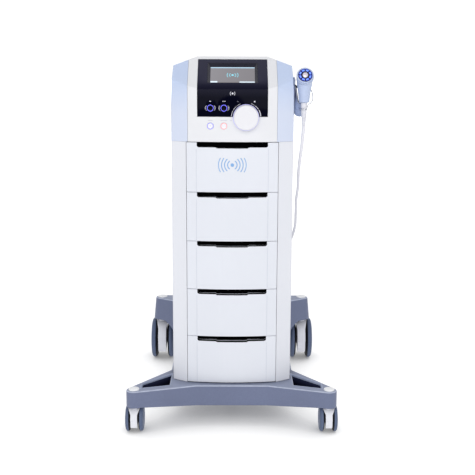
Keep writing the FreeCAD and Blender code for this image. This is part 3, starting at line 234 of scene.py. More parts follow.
def finish(name, colour, rough=0.4, grain=700.0, bump=0.10, depth=0.00004, mottle=0.03,
           bevel=0.0007, metallic=0.0, spec=0.5, coat=0.0, sheen=0.0, stretch=None,
           rough_var=0.06, fleck=None, edge=0.0, casting=None, recolour=None):
    """A moulded, painted or metal finish: mottled colour, fine grain, uneven gloss, soft edges."""
    tree = new_material(name)
    mid = tree.noise(scale=60.0, detail=4.0, roughness=0.6)
    fine = tree.noise(scale=grain, detail=3.0, roughness=0.65, stretch=stretch)
    shade = None
    if colour:
        colour = srgb(colour)
        shade = mottled(tree, colour, fine, mottle, fleck)
    # painted highlights on the edges; for a casting also a painted lighter top and painted shade
    # in recesses
    if edge:
        shade = painted_edge_light_and_shade(tree, shade, mid, bevel, edge, scaled(colour, 1.55), casting)
    if recolour:
        shade = recolour(tree, shade)
    grained = tree.node("ShaderNodeBump", {
        "Strength": bump, "Distance": depth, "Height": fine, "Normal": tree.bevel(bevel)})
    tree.fill(tree.shader, {
        "Base Color": shade,
        "Roughness": tree.remap(mid, span=(0.3, 0.7), to=(rough - rough_var, rough + rough_var)),
        "Normal": grained.outputs[0], "Metallic": metallic, "Specular IOR Level": spec,
        "Coat Weight": coat, "Coat Roughness": 0.12, "Sheen Weight": sheen})


def by_height(span, colour, strength=None):
    """A recolour step that blends in a colour between two heights."""
    def recolour(tree, shade):
        factor = tree.remap(tree.height(), span)
        if strength:
            factor = tree.times(factor, strength)
        return tree.tint(factor, shade, srgb(colour))
    return recolour


def glow(name, colour, power, rough=0.25, body_colour=None, ripple=0.25):
    """A lit diffuser: a clear moulding over light, a little brighter in places."""
    tree = new_material(name)
    colour = srgb(colour)
    patches = tree.remap(tree.noise(scale=220.0), span=(0.35, 0.65), to=(0.0, ripple))
    tree.fill(tree.shader, {
        "Emission Color": tree.tint(patches, colour, scaled(colour, 1.5)),
        "Emission Strength": power,
        "Base Color": srgb(body_colour) if body_colour else scaled(colour, 0.6),
        "Roughness": tree.remap(tree.noise(scale=90.0), span=(0.3, 0.7),
                                to=(rough - 0.05, rough + 0.08))})


# ---------------------------------------------------------------- materials
def shell_materials():
    moulded = dict(rough=0.42, grain=1500, bump=0.16, mottle=0.012)
    finish("shell_white_moulded", (226, 228, 235), **moulded)
    finish("console_bezel_white", (226, 227, 231), **moulded)
    finish("drawer_white_moulded", (222, 225, 233), rough=0.40, grain=1500, bump=0.18,
           mottle=0.012, bevel=0.0008)
    # painted light: the covers turn lighter downwards from the slope to the upright part
    finish("cover_blue_moulded", (190, 205, 234), rough=0.42, grain=1500, bump=0.16,
           mottle=0.018, bevel=0.0010,
           recolour=by_height(span=(0.955, 0.86), colour=(214, 220, 236), strength=0.75))
    # painted shade: a darker tone for thin lines along the drawer creases
    finish("moulding_crease", (206, 210, 222), rough=0.5, grain=1500, bump=0.05, mottle=0.02)
    finish("grip_liner_black", (2, 2, 3), rough=0.75, grain=900, bump=0.5, depth=0.00006,
           mottle=0.08, bevel=0.0003, spec=0.02)
    finish("handle_soft_grip", (70, 76, 100), rough=0.62, grain=1000, bump=0.5, depth=0.00008,
           mottle=0.05, bevel=0.0004, sheen=0.15)


def base_materials():
    # painted light: edge, top and deep give the casting edge highlights, a lighter top and shade
    # in recesses
    finish("base_powder_coat", (107, 116, 145), rough=0.36, grain=420, bump=0.9, depth=0.00012,
           mottle=0.07, bevel=0.0020, spec=0.55, fleck=(80, 88, 118), edge=0.85,
           casting=dict(edge=(186, 194, 214), top=(138, 147, 174), deep=(22, 26, 52)))
    finish("base_well_shade", (40, 46, 76), rough=0.6, grain=900, bump=0.4, depth=0.00008,
           mottle=0.08, bevel=0.0004, spec=0.2,
           recolour=by_height(span=(0.121, 0.098), colour=(10, 12, 34)))
    # painted highlight: the bead round each well is lighter than the casting
    finish("base_bead_light", (150, 160, 186), rough=0.34, bump=0.4, depth=0.00006,
           mottle=0.05, bevel=0.0006, spec=0.55)
    finish("caster_nylon", (230, 231, 238), rough=0.46, grain=1300, bump=0.22, mottle=0.02,
           bevel=0.0008)
    finish("cap_white", (247, 248, 250), rough=0.36, grain=1300, mottle=0.015, bevel=0.0004)
    # edge=0.05 paints a faint highlight on the wheel edges
    finish("wheel_tread", (88, 101, 130), rough=0.55, grain=800, bump=0.5, depth=0.00008,
           mottle=0.06, bevel=0.0006, spec=0.4, edge=0.05)
    finish("wheel_hub_cover", (98, 112, 142), grain=1100, bump=0.2, bevel=0.0006)
    finish("wheel_inside_black", (12, 14, 24), rough=0.55, grain=900, bump=0.3, mottle=0.05,
           bevel=0.0004, spec=0.25)


def hardware_materials():
    finish("dark_plastic", (26, 27, 31), rough=0.5, grain=1100, bump=0.4, depth=0.00006,
           mottle=0.06, bevel=0.0005)
    finish("brushed_steel", (190, 192, 196), rough=0.30, grain=500, bump=0.25, depth=0.00003,
           mottle=0.05, metallic=1.0, bevel=0.0004, stretch=(1.0, 1.0, 24.0))
    finish("zinc_sheet", (178, 181, 186), rough=0.38, grain=160, mottle=0.10, metallic=1.0,
           bevel=0.0004)
    finish("bright_wire", (214, 216, 222), rough=0.12, grain=900, bump=0.03, mottle=0.02,
           metallic=1.0, bevel=0.0003, rough_var=0.04)
    finish("circuit_board", (24, 92, 50), grain=350, bump=0.3, mottle=0.12, bevel=0.0003)
    finish("heatsink_anodised", (196, 198, 202), rough=0.36, grain=600, bump=0.2, mottle=0.04,
           metallic=0.9, bevel=0.0003)


def glass_painted_reflection(tree, _):
    """Painted reflection: greyer and a little more reflective on the slope, almost black low down.
    """
    height = tree.height()
    sloped = tree.remap(height, span=(0.926, 0.948))
    lowest = tree.remap(height, span=(0.902, 0.920))
    tree.fill(tree.shader, {"Specular IOR Level": tree.remap(sloped, (0.0, 1.0), (0.03, 0.10))})
    shade = tree.tint(sloped, srgb((22, 22, 38)), srgb((38, 38, 58)))
    return tree.tint(lowest, srgb((2, 3, 20)), shade)


def control_materials():
    finish("control_glass_dark", None, rough=0.10, grain=300, bump=0.01, bevel=0.0004,
           rough_var=0.025, recolour=glass_painted_reflection)
    finish("display_frame_dark", (16, 16, 36), rough=0.30, bump=0.05, mottle=0.05,
           bevel=0.0003, spec=0.35)
    finish("knob_white_satin", (227, 227, 232), rough=0.42, grain=1300, bump=0.05,
           mottle=0.004, bevel=0.0004, coat=0.05, rough_var=0.012)
    finish("button_black_gloss", (3, 3, 12), rough=0.22, grain=800, bump=0.02, mottle=0.02,
           bevel=0.0003, rough_var=0.03, spec=0.05)
    finish("button_white_gloss", (236, 236, 243), rough=0.24, grain=900, bump=0.03,
           mottle=0.012, bevel=0.0003, rough_var=0.04)
    glow("button_light_violet", (112, 110, 255), power=1.2)
    glow("start_light_blue", (120, 118, 246), power=0.80)
    glow("stop_light_red", (250, 140, 144), power=0.80)
    glow("knob_light_violet", (172, 168, 242), power=0.50, body_colour=(190, 190, 236))
    glow("print_white", (214, 214, 226), power=0.45, rough=0.5)
    glow("print_dim", (130, 130, 148), power=0.35, rough=0.5)
    finish("print_grey", (186, 188, 204), rough=0.6, grain=1500, bump=0.05, mottle=0.02)
    finish("print_light_blue", (128, 172, 222), rough=0.42, grain=1500, bump=0.05, mottle=0.02)


def screen_materials():
    glow("screen_cyan", (160, 190, 210), power=0.85, ripple=0.1)
    glow("screen_cyan_soft", (120, 190, 205), power=0.85, ripple=0.1)
    glow("screen_white", (196, 210, 222), power=0.9, ripple=0.1)
    glow("screen_line", (96, 104, 116), power=0.8, ripple=0.1)
    # the lit grey ground: a drift from side to side, soft patches and fine lines
    tree = new_material("screen_grey")
    position = tree.coords["Object"]
    across = tree.remap(tree.axis(position, "X"), span=(-0.06, 0.06))
    patches = tree.noise(scale=14.0)
    lines = tree.node("ShaderNodeTexWave", {"Scale": 900.0, "Vector": position}).outputs["Fac"]
    shade = tree.tint(across, srgb((150, 147, 152)), srgb((138, 134, 138)))
    shade = tree.tint(tree.times(patches, 0.25), shade, srgb((128, 126, 134)))
    shade = tree.tint(tree.times(lines, 0.05), shade, srgb((90, 90, 96)))
    tree.fill(tree.shader, {
        "Emission Color": shade, "Emission Strength": 0.90, "Base Color": srgb((30, 30, 34)),
        "Roughness": 0.3, "Specular IOR Level": 0.25})


def applicator_materials():
    finish("applicator_shell_blue", (184, 197, 225), rough=0.30, grain=1300, bump=0.07,
           mottle=0.015, bevel=0.0006, coat=0.2)
    finish("ring_navy_clear", (6, 10, 70), rough=0.16, grain=500, bump=0.03, mottle=0.08,
           bevel=0.0003, coat=0.4, rough_var=0.03)
    glow("ring_led_blue", (98, 134, 255), power=1.15)
    glow("ring_glow_soft", (60, 84, 220), power=0.5)
    finish("transducer_polished", (244, 240, 246), rough=0.22, grain=600, bump=0.04,
           mottle=0.02, metallic=0.55, bevel=0.0003)
    finish("transducer_lens_pink", (226, 200, 226), rough=0.2, grain=500, bump=0.02,
           mottle=0.04, bevel=0.0002, rough_var=0.03)
    finish("cable_white_jacket", (226, 226, 233), rough=0.46, grain=900, bump=0.25,
           mottle=0.02, bevel=0.0003, sheen=0.1)
    blue_grey = dict(rough=0.44, grain=1300, bump=0.2, bevel=0.0006)
    finish("holder_blue_grey", (160, 174, 206), **blue_grey)
    finish("holder_blue_grey_shaded", (160, 174, 206), **blue_grey,
           recolour=by_height(span=(0.886, 0.904), colour=(62, 60, 88), strength=0.8))
    # painted shade: the inside of the sheath is darker than its outside
    finish("holder_inside_painted_shade", (64, 68, 92), rough=0.5, grain=1200, bump=0.2, mottle=0.05)
    finish("holder_rim_pale", (226, 230, 238), rough=0.3, grain=1200, mottle=0.02)


shell_materials()
base_materials()
hardware_materials()
control_materials()
screen_materials()
applicator_materials()


# ---------------------------------------------------------------- mesh tools
def crisp(obj, angle):
    """Splits the shading at edges sharper than the angle, in degrees."""
    split = obj.modifiers.new("edges", "EDGE_SPLIT")
    split.split_angle = math.radians(angle)
    split.use_edge_sharp = False


def round_edges(obj, width):
    bevel = obj.modifiers.new("rounding", "BEVEL")
    bevel.width = width
    bevel.segments = 3
    bevel.limit_method = "ANGLE"
    bevel.angle_limit = math.radians(30.0)
    bevel.harden_normals = False
    normals = obj.modifiers.new("normals", "WEIGHTED_NORMAL")
    normals.weight = 70
    normals.keep_sharp = False


def make(name, verts, faces, material, body, angle=None, smooth=True, zones=None):
    """A mesh object riding on a body; with several materials, zones gives one per face."""
    mesh = bpy.data.meshes.new(name)
    mesh.from_pydata([tuple(vert) for vert in verts], [], faces)
    mesh.validate()
    work = bmesh.new()
    work.from_mesh(mesh)
    bmesh.ops.recalc_face_normals(work, faces=work.faces)
    work.to_mesh(mesh)
    work.free()
    obj = bpy.data.objects.new(name, mesh)
    scene.collection.objects.link(obj)
    for key in [material] if isinstance(material, str) else material:
        mesh.materials.append(MATERIALS[key])
    if zones:
        for face, zone in zip(mesh.polygons, zones):
            face.material_index = zone
    for face in mesh.polygons:
        face.use_smooth = smooth
    if angle:
        crisp(obj, angle)
    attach(obj, body)
    return obj


def quads(rows, count, around=True, wrap=False):
    """Faces between rows of count points; around closes each row, wrap joins last to first."""
    faces = []
    for row in range(rows if wrap else rows - 1):
        here, there = row * count, (row + 1) % rows * count
        for i in range(count if around else count - 1):
            j = (i + 1) % count
            faces.append((here + i, here + j, there + j, there + i))
    return faces


def basis(axis):
    axis = Vector(axis).normalized()
    reference = Vector((0, 0, 1)) if abs(axis.z) < 0.9 else Vector((0, 1, 0))
    across = reference.cross(axis).normalized()
    return across, axis.cross(across), axis


def lathe(name, profile, origin, axis, material, body, segs=72, angle=38.0,
          zones=None, dent=None):
    """Turns (radius, height) points about an axis; a zero radius closes on the axis, and a
    profile without one is a closed loop. Zones gives a material index per profile step."""
    across, along, axis = basis(axis)
    origin = Vector(origin)
    verts, rings = [], []
    for radius, height in profile:
        start = len(verts)
        if radius < 1e-9:
            verts.append(origin + axis * height)
        else:
            for i in range(segs):
                turn = 2 * math.pi * i / segs
                verts.append(origin + across * (radius * math.cos(turn))
                             + along * (radius * math.sin(turn)) + axis * height)
        rings.append(range(start, len(verts)))
    if dent:
        verts = [dent(vert) for vert in verts]
    faces, face_zones = [], []
    closed = len(rings[0]) > 1 and len(rings[-1]) > 1
    for step in range(len(rings) if closed else len(rings) - 1):
        here, there = rings[step], rings[(step + 1) % len(rings)]
        for i in range(segs):
            j = (i + 1) % segs
            if len(here) == 1:
                faces.append((here[0], there[i], there[j]))
            elif len(there) == 1:
                faces.append((here[i], here[j], there[0]))
            else:
                faces.append((here[i], here[j], there[j], there[i]))
            face_zones.append(zones[step] if zones else 0)
    return make(name, verts, faces, material, body, angle=angle,
                zones=face_zones if zones else None)


def sweep(name, points, radius, material, body, segs):
    """A round bar along a line of points; radius is a function of the share of its length."""
    count = len(points)
    lengths = [0.0]
    for i in range(1, count):
        lengths.append(lengths[-1] + (points[i] - points[i - 1]).length)
    radii = [radius(length / lengths[-1]) for length in lengths]
    tangents = [(points[min(i + 1, count - 1)] - points[max(i - 1, 0)]).normalized()
                for i in range(count)]
    across = basis(tangents[0])[0]
    verts = []
    for i, tangent in enumerate(tangents):
        if i:
            across = tangents[i - 1].rotation_difference(tangent) @ across
            across = (across - tangent * across.dot(tangent)).normalized()
        along = tangent.cross(across)
        for k in range(segs):
            turn = 2 * math.pi * k / segs
            verts.append(points[i] + across * (radii[i] * math.cos(turn))
                         + along * (radii[i] * math.sin(turn)))
    faces = quads(count, segs)
    # low cones close the ends
    for i, bulge in ((0, -0.3), (count - 1, 0.3)):
        tip = len(verts)
        verts.append(points[i] + tangents[i] * bulge * radii[i])
        faces += [(tip, i * segs + k, i * segs + (k + 1) % segs) for k in range(segs)]
    return make(name, verts, faces, material, body, angle=50.0)


def spline(table, per):
    """A smooth Catmull-Rom line through points in millimetres; per is steps in each span."""
    points = [Vector(point) * MM for point in table]
    points = ([points[0] * 2 - points[1]] + points + [points[-1] * 2 - points[-2]])
    line = []
    for p0, p1, p2, p3 in zip(points, points[1:], points[2:], points[3:]):
        for k in range(per):
            t = k / per
            line.append(0.5 * ((2 * p1) + (p2 - p0) * t + (2 * p0 - 5 * p1 + 4 * p2 - p3) * t * t
                               + (3 * p1 - p0 - 3 * p2 + p3) * t ** 3))
    return line + [points[-2]]


def slab(name, outline, thick, material, body, place, bevel):
    """A plate: its outline placed at depth 0 and -thick, with rounded edges."""
    count = len(outline)
    verts = [place(a, b, depth) for depth in (0.0, -thick) for a, b in outline]
    faces = [tuple(range(count)), tuple(range(count, 2 * count))]
    round_edges(make(name, verts, faces + quads(2, count)[:0] + [
        (i, (i + 1) % count, count + (i + 1) % count, count + i) for i in range(count)],
        material, body), bevel)


def rounded_box(x0, x1, y0, y1, radius, steps):
    """An outline with arcs about four corner centres, counter-clockwise."""
    points = []
    for x, y, start in ((x1, y1, 0), (x0, y1, 90), (x0, y0, 180), (x1, y0, 270)):
        for k in range(steps + 1):
            turn = math.radians(start + 90 * k / steps)
            points.append((x + radius * math.cos(turn), y + radius * math.sin(turn)))
    return points


def band(name, pairs, thick, material, body, place):
    """A thin raised print: pairs of edge points, joined into a strip with real edges."""
    verts, faces = [], []
    for (a, b), (c, d) in pairs:
        verts += [place(a, b, thick), place(c, d, thick),
                  place(a, b, -0.00005), place(c, d, -0.00005)]
    end = 4 * (len(pairs) - 1)
    for p in range(0, end, 4):
        q = p + 4
        faces += [(p, q, q + 1, p + 1), (p + 2, p + 3, q + 3, q + 2),
                  (p, p + 2, q + 2, q), (p + 1, q + 1, q + 3, p + 3)]
    faces += [(0, 1, 3, 2), (end, end + 2, end + 3, end + 1)]
    return make(name, verts, faces, material, body, smooth=False)


def bands(name, strips, thick, material, body, place):
    """Several strips of one print, merged into one piece."""
    parts = [band("%s_%d" % (name, k), pairs, thick, material, body, place)
             for k, pairs in enumerate(strips)]
    keep = parts[0]
    if len(parts) > 1:
        work = bmesh.new()
        for part in parts:
            work.from_mesh(part.data)
        work.to_mesh(keep.data)
        work.free()
        for part in parts[1:]:
            bpy.data.objects.remove(part)
        keep.data.name = name
    keep.name = name


def arc(centre, inner, outer, start, end, steps=24):
    """Edge pairs of an arc between two radii, from start to end in degrees."""
    pairs = []
    for i in range(steps + 1):
        turn = math.radians(start + (end - start) * i / steps)
        x, z = math.cos(turn), math.sin(turn)
        pairs.append(((centre[0] + inner * x, centre[1] + inner * z),
                      (centre[0] + outer * x, centre[1] + outer * z)))
    return pairs


def mirrored_arcs(centre, radius, width, span, steps=24):
    """An arc opening to each side, right then left; span is half its angle."""
    return [arc(centre, radius - width / 2, radius + width / 2, side - span, side + span, steps)
            for side in (0, 180)]


def stripe(points, width):
    """Edge pairs of a strip along a line of points."""
    pairs = []
    for i, (x, z) in enumerate(points):
        before, after = points[max(i - 1, 0)], points[min(i + 1, len(points) - 1)]
        dx, dz = after[0] - before[0], after[1] - before[1]
        length = math.hypot(dx, dz)
        nx, nz = -dz / length * width / 2, dx / length * width / 2
        pairs.append(((x + nx, z + nz), (x - nx, z - nz)))
    return pairs


# ---------------------------------------------------------------- CAD pieces that stay
CASTER_TAGS = ("front_left", "front_right", "rear_left", "rear_right")

PIECES_OF = {
    "base_powder_coat": "base_frame",
    "cap_white": "caster_stem_caps",
    "brushed_steel": "caster_stems rotary_encoder equipotential_pin rear_cover_screws",
    "zinc_sheet": "inner_chassis drawer_rails ultrasound_generator",
    "shell_white_moulded": "left_side_panel right_side_panel rear_cover console_rear_cover",
    "cover_blue_moulded": "console_left_cover console_right_cover",
    "control_glass_dark": "control_glass",
    "console_bezel_white": "console_bezel",
    "dark_plastic": "display_panel fan_housing fan_rotor mains_inlet power_switch "
                    "front_left_brake_pedal front_right_brake_pedal",
    "knob_white_satin": "intensity_knob",
    "button_black_gloss": "channel_button_left channel_button_right",
    "button_white_gloss": "start_button stop_button",
    "circuit_board": "control_board",
    "heatsink_anodised": "power_supply",
    "handle_soft_grip": "push_handle",
    "holder_blue_grey": "applicator_holder",
    "applicator_shell_blue": "applicator_body",
    "ring_navy_clear": "applicator_light_ring",
    "transducer_polished": "transducer",
    "cable_white_jacket": "applicator_strain_relief applicator_cable",
}


def dress_cad_pieces():
    material_of = {piece: material for material, pieces in PIECES_OF.items()
                   for piece in pieces.split()}
    for i in range(1, 6):
        material_of["drawer_%d_front" % i] = "drawer_white_moulded"
        material_of["drawer_%d_tray" % i] = "zinc_sheet"
    for tag in CASTER_TAGS:
        material_of[tag + "_caster_housing"] = "caster_nylon"
        material_of[tag + "_axle"] = "brushed_steel"
        material_of[tag + "_wheels"] = "wheel_tread"
    for name, obj in NODES.items():
        normals = obj.data.attributes.get("custom_normal")
        if normals is not None:
            obj.data.attributes.remove(normals)
        weld = obj.modifiers.new("weld", "WELD")
        weld.merge_threshold = 0.00002
        crisp(obj, 30.0)
        obj.data.materials.clear()
        obj.data.materials.append(MATERIALS[material_of[name]])
        for face in obj.data.polygons:
            face.use_smooth = True
            face.material_index = 0


dress_cad_pieces()


# ---------------------------------------------------------------- drawers
GRIP_HALF, GRIP_DEEP = 0.094, 0.0128    # half width of the finger opening, its depth in z
THUMB_HALF, THUMB_DEEP = 0.041, 0.0024  # the lower middle part of the opening
THUMB_OUTER = THUMB_HALF + 0.003        # where the step down to it starts
GRIP_ROOF = 0.0012                      # the liner stops this far below the drawer's top
CREASE_X = 0.0955

# The liner's section: distance behind the face, rise above the opening's edge
LINER_SECTION = [(0.0004, 0.0004), (0.0050, 0.0004), (0.0110, 0.0003),
                 (0.0160, -0.0012), (0.0200, -0.0046)]
LINER_BACK = 0.0215


def grip_liner(body, top):
    """A black scoop behind the finger opening, with a lip along the opening's edge."""
    roof = top - GRIP_ROOF
    edge = top - GRIP_DEEP
    middle = top - GRIP_DEEP - THUMB_DEEP
    wing = GRIP_HALF - 0.010 - THUMB_HALF - 0.003
    left = [(-GRIP_HALF + 0.0003, roof), (-GRIP_HALF + 0.0003, edge + 0.003),
            (-(GRIP_HALF - 0.004), edge), (-(GRIP_HALF - 0.010), edge)]
    left += [(-THUMB_OUTER - wing * (1 - k / 6.0), edge) for k in range(1, 6)]
    left += [(-THUMB_OUTER, edge), (-THUMB_HALF, middle)]
    line = left + [(-THUMB_HALF + 2 * THUMB_HALF * k / 12.0, middle) for k in range(1, 12)]
    line += [(-x, z) for x, z in reversed(left)]
    verts = [Vector((x, front_y(x) + back, z + rise))
             for back, rise in LINER_SECTION for x, z in line]
    verts += [Vector((x, front_y(x) + LINER_BACK, roof)) for x, z in line]
    faces = quads(len(LINER_SECTION) + 1, len(line), around=False)
    liner = make(body + "_grip_liner", verts, faces, "grip_liner_black", body)
    wall = liner.modifiers.new("wall", "SOLIDIFY")
    wall.thickness = 0.0006
    wall.offset = 0.0
    crisp(liner, 40)


def drawers():
    for i in range(1, 6):
        body = "drawer_%d" % i
        low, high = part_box(body + "_front")
        grip_liner(body, high.z)
        # thin darker lines painted as shade along the creases where the bowed middle meets the
        # wings
        for side, sign in SIDES:
            line = [(sign * CREASE_X, low.z + 0.0016 + (high.z - low.z - 0.0190) * k / 10.0)
                    for k in range(11)]
            band("%s_crease_%s" % (body, side), stripe(line, 0.0011), 0.00006,
                 "moulding_crease", body, on_front)


drawers()


# ---------------------------------------------------------------- console display
# The lit area: its ends along the slope, half its width, and its depth below the slope
SCREEN_LOW, SCREEN_HIGH, SCREEN_HALF = 0.0088, 0.0723, 0.059
SCREEN_DEPTH = 0.0027
FRAME_LOW, FRAME_HIGH, FRAME_HALF = 0.0066, 0.0871, 0.0662


def on_screen(x, up, out):
    return on_slope(x, up, out - SCREEN_DEPTH)


def lit_sheet(name, x0, x1, low, high, material, lift=0.0005):
    columns, rows = 8, 6
    verts = [on_screen(x0 + (x1 - x0) * i / columns, low + (high - low) * j / rows, lift)
             for j in range(rows + 1) for i in range(columns + 1)]
    obj = make(name, verts, quads(rows + 1, columns + 1, around=False), material, "tower",
               smooth=False)
    sheet = obj.modifiers.new("sheet", "SOLIDIFY")
    sheet.thickness = 0.0002
    sheet.offset = -1.0


def display():
    half, low, high = SCREEN_HALF, SCREEN_LOW, SCREEN_HIGH
    lit_sheet("display_screen", -half + 0.0004, half - 0.0004, low + 0.0004, high - 0.0004,
              "screen_grey", lift=0.0003)
    lit_sheet("display_top_bar", -half + 0.0006, half - 0.0006, high - 0.0046, high - 0.0010,
              "screen_cyan")
    lit_sheet("display_top_line", -half + 0.0006, half - 0.0006, high - 0.0052, high - 0.0047,
              "screen_line")
    lit_sheet("display_soft_key_left", -half + 0.0010, -half + 0.0190,
              low + 0.0008, low + 0.0068, "screen_white")
    lit_sheet("display_soft_key_right", half - 0.0410, half - 0.0010,
              low + 0.0008, low + 0.0052, "screen_white")
    # a travelling wave: a dot with arcs spreading to both sides
    centre = (0, (low + high) / 2 - 0.001)
    strips = (mirrored_arcs(centre, radius=0.0085, width=0.0016, span=50)
              + mirrored_arcs(centre, radius=0.0146, width=0.0016, span=34)
              + [arc(centre, 0.0, 0.0036, 0, 360, steps=28)])
    bands("display_wave_picture", strips, 0.00075, "screen_cyan_soft", "tower", on_screen)


def display_frame():
    """The dark frame round the lit area, stepped down to the screen."""
    half, low, high = SCREEN_HALF, SCREEN_LOW, SCREEN_HIGH
    inside = (half - 0.0001, low + 0.0001, high - 0.0001, 0.0003)
    outside = (FRAME_HALF, FRAME_LOW, FRAME_HIGH, 0.0008)
    # half width, low end, high end, corner radius, height over the slope
    rings = [
        (*outside, -0.0003),
        (FRAME_HALF - 0.0008, FRAME_LOW + 0.0006, FRAME_HIGH - 0.0008, 0.0008, -0.0001),
        (FRAME_HALF - 0.0018, FRAME_LOW + 0.0011, FRAME_HIGH - 0.0022, 0.0009, -0.0005),
        (half + 0.0016, low - 0.0004, high + 0.0016, 0.0006, -0.0019),
        (*inside, -0.0022),
        (*inside, -0.0030),
        (*outside, -0.0030),
    ]
    verts = []
    for wide, start, end, corner, out in rings:
        outline = rounded_box(-wide + corner, wide - corner, start + corner, end - corner,
                              corner, steps=4)
        verts += [on_slope(x, up, out) for x, up in outline]
    faces = quads(len(rings), len(verts) // len(rings), wrap=True)
    make("display_frame", verts, faces, "display_frame_dark", "tower",
         angle=35)


display()
display_frame()


# ---------------------------------------------------------------- prints on the front
def panel_print(name, strips, material="print_white"):
    bands(name, strips, 0.00006, material, "tower", on_front)


def level_bars(spans, z, width):
    return [stripe([(x0, z), (x1, z)], width) for x0, x1 in spans]


def panel_prints():
    # brackets round the two channel buttons
    for tag, x in (("left", BUTTON_LEFT_X), ("right", BUTTON_RIGHT_X)):
        centre = (x, CHANNEL_Z)
        # inner radius, outer radius, start and end angle
        arcs = [(0.0116, 0.0123, 146, 214), (0.0116, 0.0123, -34, 34),
                (0.0134, 0.0139, 158, 196), (0.0134, 0.0139, -16, 22)]
        panel_print("button_bracket_%s" % tag, [arc(centre, *row) for row in arcs])
    # small marks above the buttons: one bar, three bars
    panel_print("mark_above_left_button",
                level_bars([(-0.0605, -0.0560)], z=0.8925, width=0.0016))
    panel_print("mark_above_right_button",
                level_bars([(-0.0265, -0.0240), (-0.0229, -0.0204), (-0.0193, -0.0180)],
                           z=0.8925, width=0.0016))
    # arcs beside the knob: start angle, end angle, width
    radius = 0.0378
    arcs = [(112, 128, 0.0007), (131, 150, 0.0009), (153, 176, 0.0012),
            (4, 30, 0.0019), (33, 52, 0.0013), (55, 70, 0.0008)]
    panel_print("knob_level_arcs", [arc((KNOB_X, KNOB_Z), radius, radius + width, start, end)
                                    for start, end, width in arcs])
    # a small and a large level mark near the ends of the arcs
    low_bars = ((0.0128, 0.8936), (0.0148, 0.8926), (0.0166, 0.8920))   # x, top
    panel_print("level_mark_low", [stripe([(x, 0.8912), (x, top)], 0.0010)
                                   for x, top in low_bars], "print_dim")
    centre = (0.0574, 0.8922)
    panel_print("level_mark_high", [arc(centre, 0.0, 0.0018, 0, 360, steps=18),
                                    arc(centre, 0.0026, 0.0030, -60, 60, steps=10)])
    # travelling-wave sign between display and buttons
    centre = (0.0, 0.9127)
    panel_print("panel_wave_sign", [arc(centre, 0.0, 0.0025, 0, 360, steps=18)] + [
        arc(centre, 0.0062 - 0.0006, 0.0062 + 0.0006, side - 46, side + 46, steps=12)
        for side in (0, 180)])
    # faint grey bars on one line
    for name, x0, x1 in (("print_over_start", -0.0640, -0.0520),
                         ("print_over_stop", -0.0310, -0.0138),
                         ("print_beside_knob", -0.0065, -0.0015)):
        panel_print(name, level_bars([(x0, x1)], z=0.8432, width=0.0010), "print_grey")


def drawer_sign():
    """A dot with arcs spreading to both sides, on the top drawer."""
    centre = (0.0, 0.7265)
    strips = [arc(centre, 0.0, 0.0048, 0, 360, steps=28)]
    # radius, width, half angle
    for row in ((0.0125, 0.0026, 58), (0.0205, 0.0025, 50),
                (0.0285, 0.0024, 40), (0.0365, 0.0022, 31)):
        strips += mirrored_arcs(centre, *row, steps=22)
    bands("drawer_1_wave_sign", strips, 0.00010, "print_light_blue", "drawer_1", on_front)


panel_prints()
drawer_sign()


# ---------------------------------------------------------------- buttons and knob
FORWARD = (0, -1, 0)


def button(name, x, z, colour, light, lit_inner, lit_outer):
    """A dished cap inside a lit ring, with a collar and flange behind."""
    profile = [(0.0, -0.0006), (0.0026, -0.00052), (0.0048, -0.00020),
               (lit_inner - 0.0006, 0.00030), (lit_inner - 0.0002, 0.00062),
               (lit_inner, 0.00075), (lit_inner + 0.0003, 0.00100),
               (lit_outer - 0.0003, 0.00100), (lit_outer, 0.00080),
               (0.00850, 0.00050), (0.00858, 0.00010), (0.00858, -0.0068),
               (0.0101, -0.0068), (0.0101, -0.0087), (0.0, -0.0087)]
    gloss = "button_%s_gloss" % colour
    place = (x, front_y(x), z)
    cap = lathe(name + "_cap_and_light", profile, place, FORWARD, (gloss, light, gloss), name,
                segs=64, zones=[0] * 5 + [1] * 3 + [2] * 6, angle=50)
    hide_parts(name)
    if colour == "white":
        dot = [(0.0, -0.00050), (0.0007, -0.00050), (0.0008, -0.00056), (0.0008, -0.0009),
               (0.0, -0.0009)]
        lathe(name + "_centre_dot", dot, place, FORWARD, "print_grey", name, segs=16)


def buttons():
    black = ("black", "button_light_violet", 0.0073, 0.0085)
    button("channel_button_left", BUTTON_LEFT_X, CHANNEL_Z, *black)
    button("channel_button_right", BUTTON_RIGHT_X, CHANNEL_Z, *black)
    button("start_button", BUTTON_LEFT_X, START_STOP_Z, "white", "start_light_blue",
           0.0070, 0.0083)
    button("stop_button", BUTTON_RIGHT_X, START_STOP_Z, "white", "stop_light_red",
           0.0070, 0.0083)


KNOB_RADIUS, KNOB_HEIGHT, KNOB_GAP = 0.0330, 0.022, 0.0009
DIMPLE_REACH, DIMPLE_TURN = 0.0215, math.radians(27)    # from the knob's centre; from upright
DIMPLE_RADIUS, DIMPLE_DEPTH = 0.0072, 0.0014


